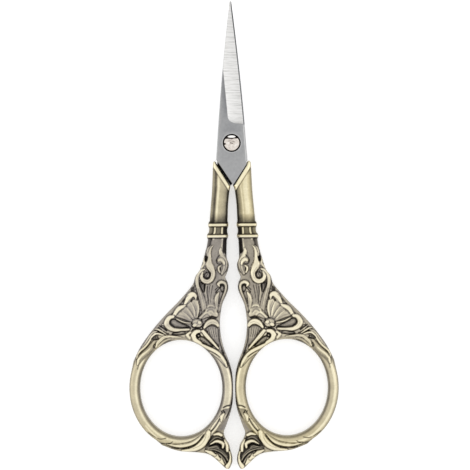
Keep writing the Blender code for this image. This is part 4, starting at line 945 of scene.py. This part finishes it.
# Blade sizes: length, half widths, the blank, the two heel lines and the grinding
TIP_Y, HEEL_Y = 34.9, -10.4
TIP_HALF = 0.22
SHOULDER_HALF, SHOULDER_Y = 3.85, -4.033
BELLY = 0.3
EDGE_STEP = 0.32
EDGE_THICK = 0.3
INNER_Z, OUTER_Z = 0.15, 1.7
SEAT, SEAT_REACH, FREE = 5.73, 5.96, 5.43
GRIND_WIDTH, GRIND_RISE, GRIND_SAG = 3.7, 1.25, 0.079
PLUNGE_WIDTH = 0.9
PLUNGE = np.array([(-1.02, 7.0), (-0.93, 6.4), (-0.76, 5.85), (-0.46, 5.42), (-0.08, 5.14), (0.45, 4.94),
                   (1.13, 4.78), (1.9, 4.67), (2.7, 4.61), (4, 4.6)])
BLADE_ROWS, BLADE_COLUMNS = 378, 60
CORNER = 0.1
INNER_HOLLOW = 0.1

# Screw in the blade: its recess and hole, and half the side of the block of the grid left out round them
HEAD_RECESS, HEAD_FLOOR, SHANK_HOLE = 2.2, 0.86, 1.5
BLOCK_HALF = 2.75
BLOCK_SHARES = (0.25, 0.5, 0.75)
SATIN = 0.375

# Screw sizes
HEAD_RADIUS, HEAD_TOP, HEAD_LIP, HEAD_UNDER = 1.93, 1.88, 1.62, 0.98
CROWN_DROP = 0.22
CROWN_ROWS, AROUND = 40, 144
SHANK_RADIUS, SHANK_END = 1.3, -1.6
SHANK_BEVEL = 0.1


def ease(value, start, end):
    """Smooth step from 0 at start to 1 at end."""
    t = np.clip((value - start) / (end - start), 0, 1)
    return t * t * (3 - 2 * t)


def bell(value, width, power=2):
    """Bump of height 1 at 0 that falls off as exp(-(value / width) ** power)."""
    return np.exp(-(value / width) ** power)


def blade_half(y):
    """Half width of the closed pair of blades: straight from tip to shoulder, plus a swelling t (1 - t)."""
    t = (TIP_Y - y) / (TIP_Y - SHOULDER_Y)
    return TIP_HALF + (SHOULDER_HALF - TIP_HALF) * (t + BELLY * t * (1 - t))


def triangles(quads):
    """Two triangles for each quad."""
    return np.concatenate([quads[:, [0, 1, 2]], quads[:, [0, 2, 3]]])


def fan(ring, middle):
    """Triangles from a ring of point numbers to its middle point."""
    return np.stack([ring, np.roll(ring, -1), np.full(len(ring), middle)], -1)


def bands(chain):
    """Quads between closed rings of point numbers, each ring and the next."""
    return [np.stack([a, np.roll(a, -1), np.roll(b, -1), b], -1) for a, b in zip(chain[:-1], chain[1:])]


def round_block(number, r0, r1, c0, c1):
    """Point numbers round the block between two rows and two columns of a numbered grid."""
    sides = (number[r0, c0:c1], number[r0:r1, c1], number[r1, c1:c0:-1], number[r1:r0:-1, c0])
    return np.concatenate(sides)


def blade_tones(x, y, left, right):
    """Satin values of the outer and inner face, with painted light: painted shade beside the plunge line, round
    the pivot and in the gaps below the heel lines, painted highlights along the spine's corner, the edge's
    corner and round the screw's recess, and a little paler towards both sides and the heel.  On the inner face,
    painted shade runs along the spine towards the tip and a painted highlight along it near the heel."""
    half = blade_half(y)
    beside = (half - EDGE_STEP - GRIND_WIDTH) - x
    reach = RIM_NORMAL[0] * x + RIM_NORMAL[1] * y
    tone = SATIN - 0.115 * bell(beside, 1.0) * ease(y, 5.0, 9.0) + 0.045 * np.abs(x / 3.7) ** 4
    tone = tone - 0.05 * np.exp(-(x * x / 5 + (y - 3.2) ** 2 / 3.5)) + 0.02 * ease(-y, 2.0, 6.0)
    tone = tone + 0.10 * ease(left + 0.35 - x, 0.0, 0.3) * ease(y, -4.2, -3.6)
    tone = tone + 0.30 * ease(x - (right - 0.16), 0.0, 0.1) * (1 - ease(np.abs(y), 4.2, 4.6))
    tone = tone + recess_highlight(np.hypot(x, y))
    # Painted shade: black in the gap beyond the heel line
    tone = tone * (1 - ease(reach, SEAT + 0.07, SEAT + 0.17))
    bright = 0.3 * ease(left + 0.42 - x, 0.0, 0.1) * (1 - ease(y, 4.2, 4.8)) * ease(y, -4.6, -3.8)
    inner = 0.34 - 0.10 * ease(left + 0.5 - x, 0.0, 0.1) * ease(y, 4.4, 5.0) + bright
    # Painted shade: the inner face goes black in the gap at its heel
    return tone, inner * (1 - 0.97 * ease(reach, SEAT - 0.60, SEAT - 0.38))


def recess_highlight(radius):
    """Painted highlight: a paler line round the screw's recess."""
    return 0.13 * bell(radius - HEAD_RECESS - 0.12, 0.1)


def blade():
    """Closed skin of a blade, its outer face up and its cutting edge to the right.
    Each row over the height y runs from the spine x = -half(y) to the edge x = half(y) - step, below the
    shoulder between the two slanted heel lines.  With w the distance from the edge as a share of 3.7 mm, the
    ground blade is 0.3 + 1.25 w - 4 sag w (1 - w) thick, and over the 0.9 mm beyond the plunge line the
    grinding deepens to that as 1 - (1 - q) ** 3, q the share of the way.  Round the pivot a block of the grid
    is left out, and rows run from its border to the circles of the screw's recess and hole."""
    y = np.linspace(HEEL_Y, TIP_Y, BLADE_ROWS)[:, None]
    nx, ny = RIM_NORMAL
    half = blade_half(y)
    left = np.maximum(-half, -(FREE - ny * y) / nx)
    edge = half - EDGE_STEP * (1 - 0.5 * ease(y, 33.0, TIP_Y))
    right = np.minimum(edge, (SEAT_REACH - ny * y) / nx)
    inset = np.minimum(CORNER, (right - left) * 0.2)
    inner = (left + inset) + (right - left - 2 * inset) * np.linspace(0, 1, BLADE_COLUMNS)
    x = np.concatenate([left, inner, right], 1)
    y = np.repeat(y, x.shape[1], 1)

    w = blade_half(y) - EDGE_STEP - x
    share = w / GRIND_WIDTH
    thick = EDGE_THICK + GRIND_RISE * share - 4 * GRIND_SAG * share * (1 - share)
    line = np.interp(x, *PLUNGE.T)
    slope = np.gradient(line, axis=1) / np.maximum(np.gradient(x, axis=1), SMALL)
    q = (y - line) / np.hypot(1, slope)
    grind = 1 - (1 - np.clip(q / PLUNGE_WIDTH, 0, 1)) ** 3
    depth = np.clip(OUTER_Z - INNER_Z - thick, 0, None) * grind
    brink = np.clip(1 - np.minimum(x - left, right - x) / CORNER, 0, 1)
    outer_z = np.maximum(OUTER_Z - depth - 0.12 * brink, INNER_Z + 0.12)
    hollow = INNER_HOLLOW * np.sin(np.pi * np.clip((x - left) / (right - left), 0, 1))
    inner_z = INNER_Z + hollow * ease(y, 6.0, 8.0) * (1 - ease(y, 31.0, TIP_Y))
    tone, inner_tone = blade_tones(x, y, left, right)
    ground = np.minimum(GRIND_WIDTH - w, q)

    r0, r1 = np.searchsorted(y[:, 0], (-BLOCK_HALF, BLOCK_HALF))
    c0, c1 = np.searchsorted(x[np.searchsorted(y[:, 0], 0.0)], (-BLOCK_HALF, BLOCK_HALF))
    number = np.arange(x.size).reshape(x.shape)
    cell = np.ones((x.shape[0] - 1, x.shape[1] - 1), bool)
    cell[r0:r1, c0:c1] = False
    quads = grid_quads(number, cell)[:, [0, 3, 2, 1]]
    ring = round_block(number, r0, r1, c0, c1)
    bx, by = x.ravel()[ring], y.ravel()[ring]
    far = np.hypot(bx, by)
    ux, uy = bx / far, by / far
    wide = HEAD_RECESS + 0.1
    layers = [(bx + (ux * wide - bx) * k, by + (uy * wide - by) * k, OUTER_Z, 1) for k in BLOCK_SHARES]
    layers += [(ux * radius, uy * radius, z, seen) for radius, z, seen in (
        (wide, OUTER_Z, 1), (HEAD_RECESS + 0.02, OUTER_Z, 1), (HEAD_RECESS, OUTER_Z - 0.05, 0),
        (HEAD_RECESS, HEAD_FLOOR, 0), (SHANK_HOLE, HEAD_FLOOR, 0), (SHANK_HOLE, INNER_Z, 0),
        (HEAD_RECESS, INNER_Z, 1))]
    lx, ly = (np.concatenate([layer[k] for layer in layers]) for k in (0, 1))
    lz, seen = (np.repeat([layer[k] for layer in layers], len(ring)) for k in (2, 3))
    points = placed(np.concatenate([x.ravel(), x.ravel(), lx]), np.concatenate([y.ravel(), y.ravel(), ly]),
                    np.concatenate([outer_z.ravel(), inner_z.ravel(), lz]))
    # Painted shade: the walls and floor of the recess and the hole are black; the other rows keep the satin
    # value and the painted highlight
    layer_tone = (SATIN + recess_highlight(np.hypot(lx, ly))) * seen
    values = {"tone": np.concatenate([tone.ravel(), inner_tone.ravel(), layer_tone]),
              "ground": np.concatenate([ground.ravel(), np.full(x.size + len(lx), -1.0)])}

    starts = 2 * x.size + len(ring) * np.arange(len(layers))
    walls = bands([ring] + [k + np.arange(len(ring)) for k in starts] + [ring + x.size])
    border = round_block(number, 0, x.shape[0] - 1, 0, x.shape[1] - 1)
    side = np.stack([border, border + x.size, np.roll(border, -1) + x.size, np.roll(border, -1)], -1)
    faces = triangles(np.concatenate([quads, quads[:, ::-1] + x.size, side] + walls))
    used, faces = np.unique(faces, return_inverse=True)
    return points[used], faces.reshape(-1, 3), {key: row[used] for key, row in values.items()}


def screw_tone(x, y, r):
    """Value over the head: bright, less painted shade along the two curved lines of the slot, a painted
    reflection of a dark crescent under a bright lens at the top, a nick at the left and painted shade on the
    dark lip."""
    tone = np.full(x.shape, 0.8)
    upper, lower = 0.40 - 0.14 * x - 0.12 * x * x, -0.04 - 0.24 * x
    for middle, reach, width, much in ((upper, 1.0, 0.1, 0.3), (lower, 0.5, 0.11, 0.6)):
        tone = tone - much * bell(y - middle, width) * ease(reach - np.abs(x + 0.05), 0.0, 0.25)
    lens = np.hypot(x / 0.98, (y - 1.55) / 0.30)
    under = ease(y - (1.0 - 0.17 * bell(x, 0.32) + 0.04 * x), 0.0, 0.1)
    tone = tone * (1 - 0.93 * under * ease(np.abs(x) * 0.35 + 1.0, 0.5, 1.2))
    tone = np.where(under > 0, np.maximum(tone, 1 - ease(lens, 0.9, 1.1)), tone)
    tone = tone * (1 - 0.95 * (1 - ease(np.hypot((x + 1.72) / 0.28, (y + 0.22) / 0.24), 0.7, 1.2)))
    return tone * (1 - 0.9 * ease(r, HEAD_RADIUS - 0.12, HEAD_RADIUS - 0.02))


def screw():
    """Closed skin of the screw: a profile turned about the pivot.  The head is 1.88 - 0.22 (r / 1.93) ** 2.4
    high, less a shallow slot curved across it, and under it come the steps of the shank."""
    steps = ((HEAD_RADIUS, HEAD_LIP), (HEAD_RADIUS, HEAD_UNDER), (SHANK_RADIUS, HEAD_UNDER),
             (SHANK_RADIUS, SHANK_END + SHANK_BEVEL), (SHANK_RADIUS - SHANK_BEVEL, SHANK_END))
    radii = np.concatenate([np.linspace(0.05, HEAD_RADIUS - 0.06, CROWN_ROWS), [step[0] for step in steps]])
    heights = np.concatenate([np.zeros(CROWN_ROWS), [step[1] for step in steps]])
    r, a = np.meshgrid(radii, np.linspace(0, 2 * np.pi, AROUND, endpoint=False), indexing="ij")
    x, y = r * np.cos(a), r * np.sin(a)
    row = np.arange(len(radii))[:, None]
    bend = 0.16 - 0.22 * x - 0.05 * x * x
    slot = 0.10 * bell(y - bend, 0.2, 4) * ease(1.7 - np.abs(x), 0.0, 0.3)
    crown = HEAD_TOP - CROWN_DROP * (r / HEAD_RADIUS) ** 2.4 - slot
    z = np.where(row < CROWN_ROWS, crown, heights[:, None])
    # Painted shade: the head's side and the shank are nearly black, the shank's end is paler
    tone = np.where(row < CROWN_ROWS, screw_tone(x, y, r), 0.03)
    tone = np.where(row >= len(radii) - 2, 0.6, tone)
    points = placed(np.append(x, [0, 0]), np.append(y, [0, 0]), np.append(z, [z[0].mean(), SHANK_END]))
    number = np.arange(x.size).reshape(x.shape)
    quads = np.concatenate(bands(list(number)))[:, [0, 3, 2, 1]]
    faces = np.concatenate([triangles(quads), fan(number[0], x.size), fan(number[-1][::-1], x.size + 1)])
    return points, faces, {"tone": np.append(tone, [0.8, 0.6])}


brass = metal("antique_brass", brass_look)
steel = metal("blade_steel", steel_look)
nickel = metal("polished_nickel", screw_look)

# Handles
points, faces, values = casting(handle_relief(False))
right = mesh_object("right_casting", points, faces, values, brass)
points, faces, values = casting(handle_relief(True))
left = mesh_object("left_casting", turned_over(points), faces, values, brass)
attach(right, "front_half")
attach(left, "rear_half")
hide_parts("right_handle")
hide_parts("left_handle")

# Blades and screw
points, faces, values = blade()
front = mesh_object("front_blade_skin", points, faces, values, steel)
rear = mesh_object("rear_blade_skin", turned_over(points), faces, values, steel)
points, faces, values = screw()
head = mesh_object("pivot_screw_skin", points, faces, values, nickel)
for made, body, node, name in ((front, "front_half", "front_blade", "blade_steel"),
                               (rear, "rear_half", "rear_blade", "blade_steel"),
                               (head, "rear_half", "pivot_screw", "polished_nickel")):
    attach(made, body)
    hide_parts(node)

# Camera, straight above and leaning as the photo does
VIEW_WIDTH = 115.15
LENS, SENSOR = 135.0, 36.0
VIEW_X, VIEW_Y = 0.592, -22.55
VIEW_TOP = 3.4
camera_data = bpy.data.cameras.new("photo_camera")
camera_data.lens = LENS
camera_data.sensor_width = SENSOR
camera_data.clip_start = 0.01
camera_data.clip_end = 10.0
camera = bpy.data.objects.new("photo_camera", camera_data)
bpy.context.scene.collection.objects.link(camera)
view = Vector((VIEW_X, VIEW_Y + PIVOT_Y, VIEW_WIDTH * LENS / SENSOR + VIEW_TOP))
camera.matrix_world = Matrix.Translation(view * MM) @ Matrix.Rotation(-LEAN, 4, "Z")
bpy.context.scene.camera = camera
bpy.context.scene.view_settings.view_transform = "Standard"


# Light and floor
def see_white(tree, plain, white):
    """White to the camera, to mirrors and through glass, and the plain shader to everything else."""
    path = add(tree, "LightPath")
    seen, glossy, through = (path.outputs[f"Is {kind} Ray"] for kind in ("Camera", "Glossy", "Transmission"))
    most = add(tree, "Math", seen, glossy, operation="MAXIMUM").outputs[0]
    more = add(tree, "Math", most, through, operation="MAXIMUM")
    return add(tree, "MixShader", more.outputs[0], plain, white).outputs[0]


def softbox(name, x, y, z, width, height, watts):
    """Area lamp in metres, turned to the middle of the object."""
    data = bpy.data.lights.new(name, "AREA")
    data.shape = "RECTANGLE"
    data.size = width
    data.size_y = height
    data.energy = watts
    lamp = bpy.data.objects.new(name, data)
    bpy.context.scene.collection.objects.link(lamp)
    place = Vector((x, y, z))
    turn = (-place).to_track_quat("-Z", "Y").to_matrix().to_4x4()
    lamp.matrix_world = Matrix.Translation(place) @ turn


WHITE = (1, 1, 1, 1)
PAPER = (0.8, 0.8, 0.8, 1)
WORLD_LIGHT = 0.93
FLOOR_LIFT = 0.5
FLOOR_HALF = 0.6
LAMP_X, LAMP_Y, LAMP_Z = 0.54, 0.05, 0.24
LAMP_WIDTH, LAMP_HEIGHT, LAMP_WATTS = 0.25, 0.6, 0.25

world = bpy.data.worlds.new("studio")
world.use_nodes = True
tree = world.node_tree
tree.nodes.clear()
soft = add(tree, "Background", Color=WHITE, Strength=WORLD_LIGHT)
white = add(tree, "Background", Color=WHITE, Strength=1.0)
add(tree, "OutputWorld", Surface=see_white(tree, soft.outputs[0], white.outputs[0]))
bpy.context.scene.world = world
for name, x in (("left_lamp", -LAMP_X), ("right_lamp", LAMP_X)):
    softbox(name, x, LAMP_Y, LAMP_Z, LAMP_WIDTH, LAMP_HEIGHT, LAMP_WATTS)

# Floor: pale paper, which the camera sees a little raised, so that the object's shadow stays
floor_material, tree = new_material("paper")
paper = add(tree, "BsdfDiffuse", Color=PAPER).outputs[0]
lift = add(tree, "Emission", Color=WHITE, Strength=FLOOR_LIFT).outputs[0]
shaded = add(tree, "AddShader", paper, lift).outputs[0]
glow = add(tree, "Emission", Color=WHITE, Strength=1.0).outputs[0]
camera_ray = add(tree, "LightPath").outputs["Is Camera Ray"]
seen = add(tree, "MixShader", camera_ray, glow, shaded).outputs[0]
add(tree, "OutputMaterial", Surface=see_white(tree, paper, seen))
floor_mesh = bpy.data.meshes.new("floor")
corners = [(x * FLOOR_HALF, y * FLOOR_HALF, 0) for x, y in ((-1, -1), (1, -1), (1, 1), (-1, 1))]
floor_mesh.from_pydata(corners, [], [(0, 1, 2, 3)])
floor_mesh.materials.append(floor_material)
floor = bpy.data.objects.new("floor", floor_mesh)
bpy.context.scene.collection.objects.link(floor)
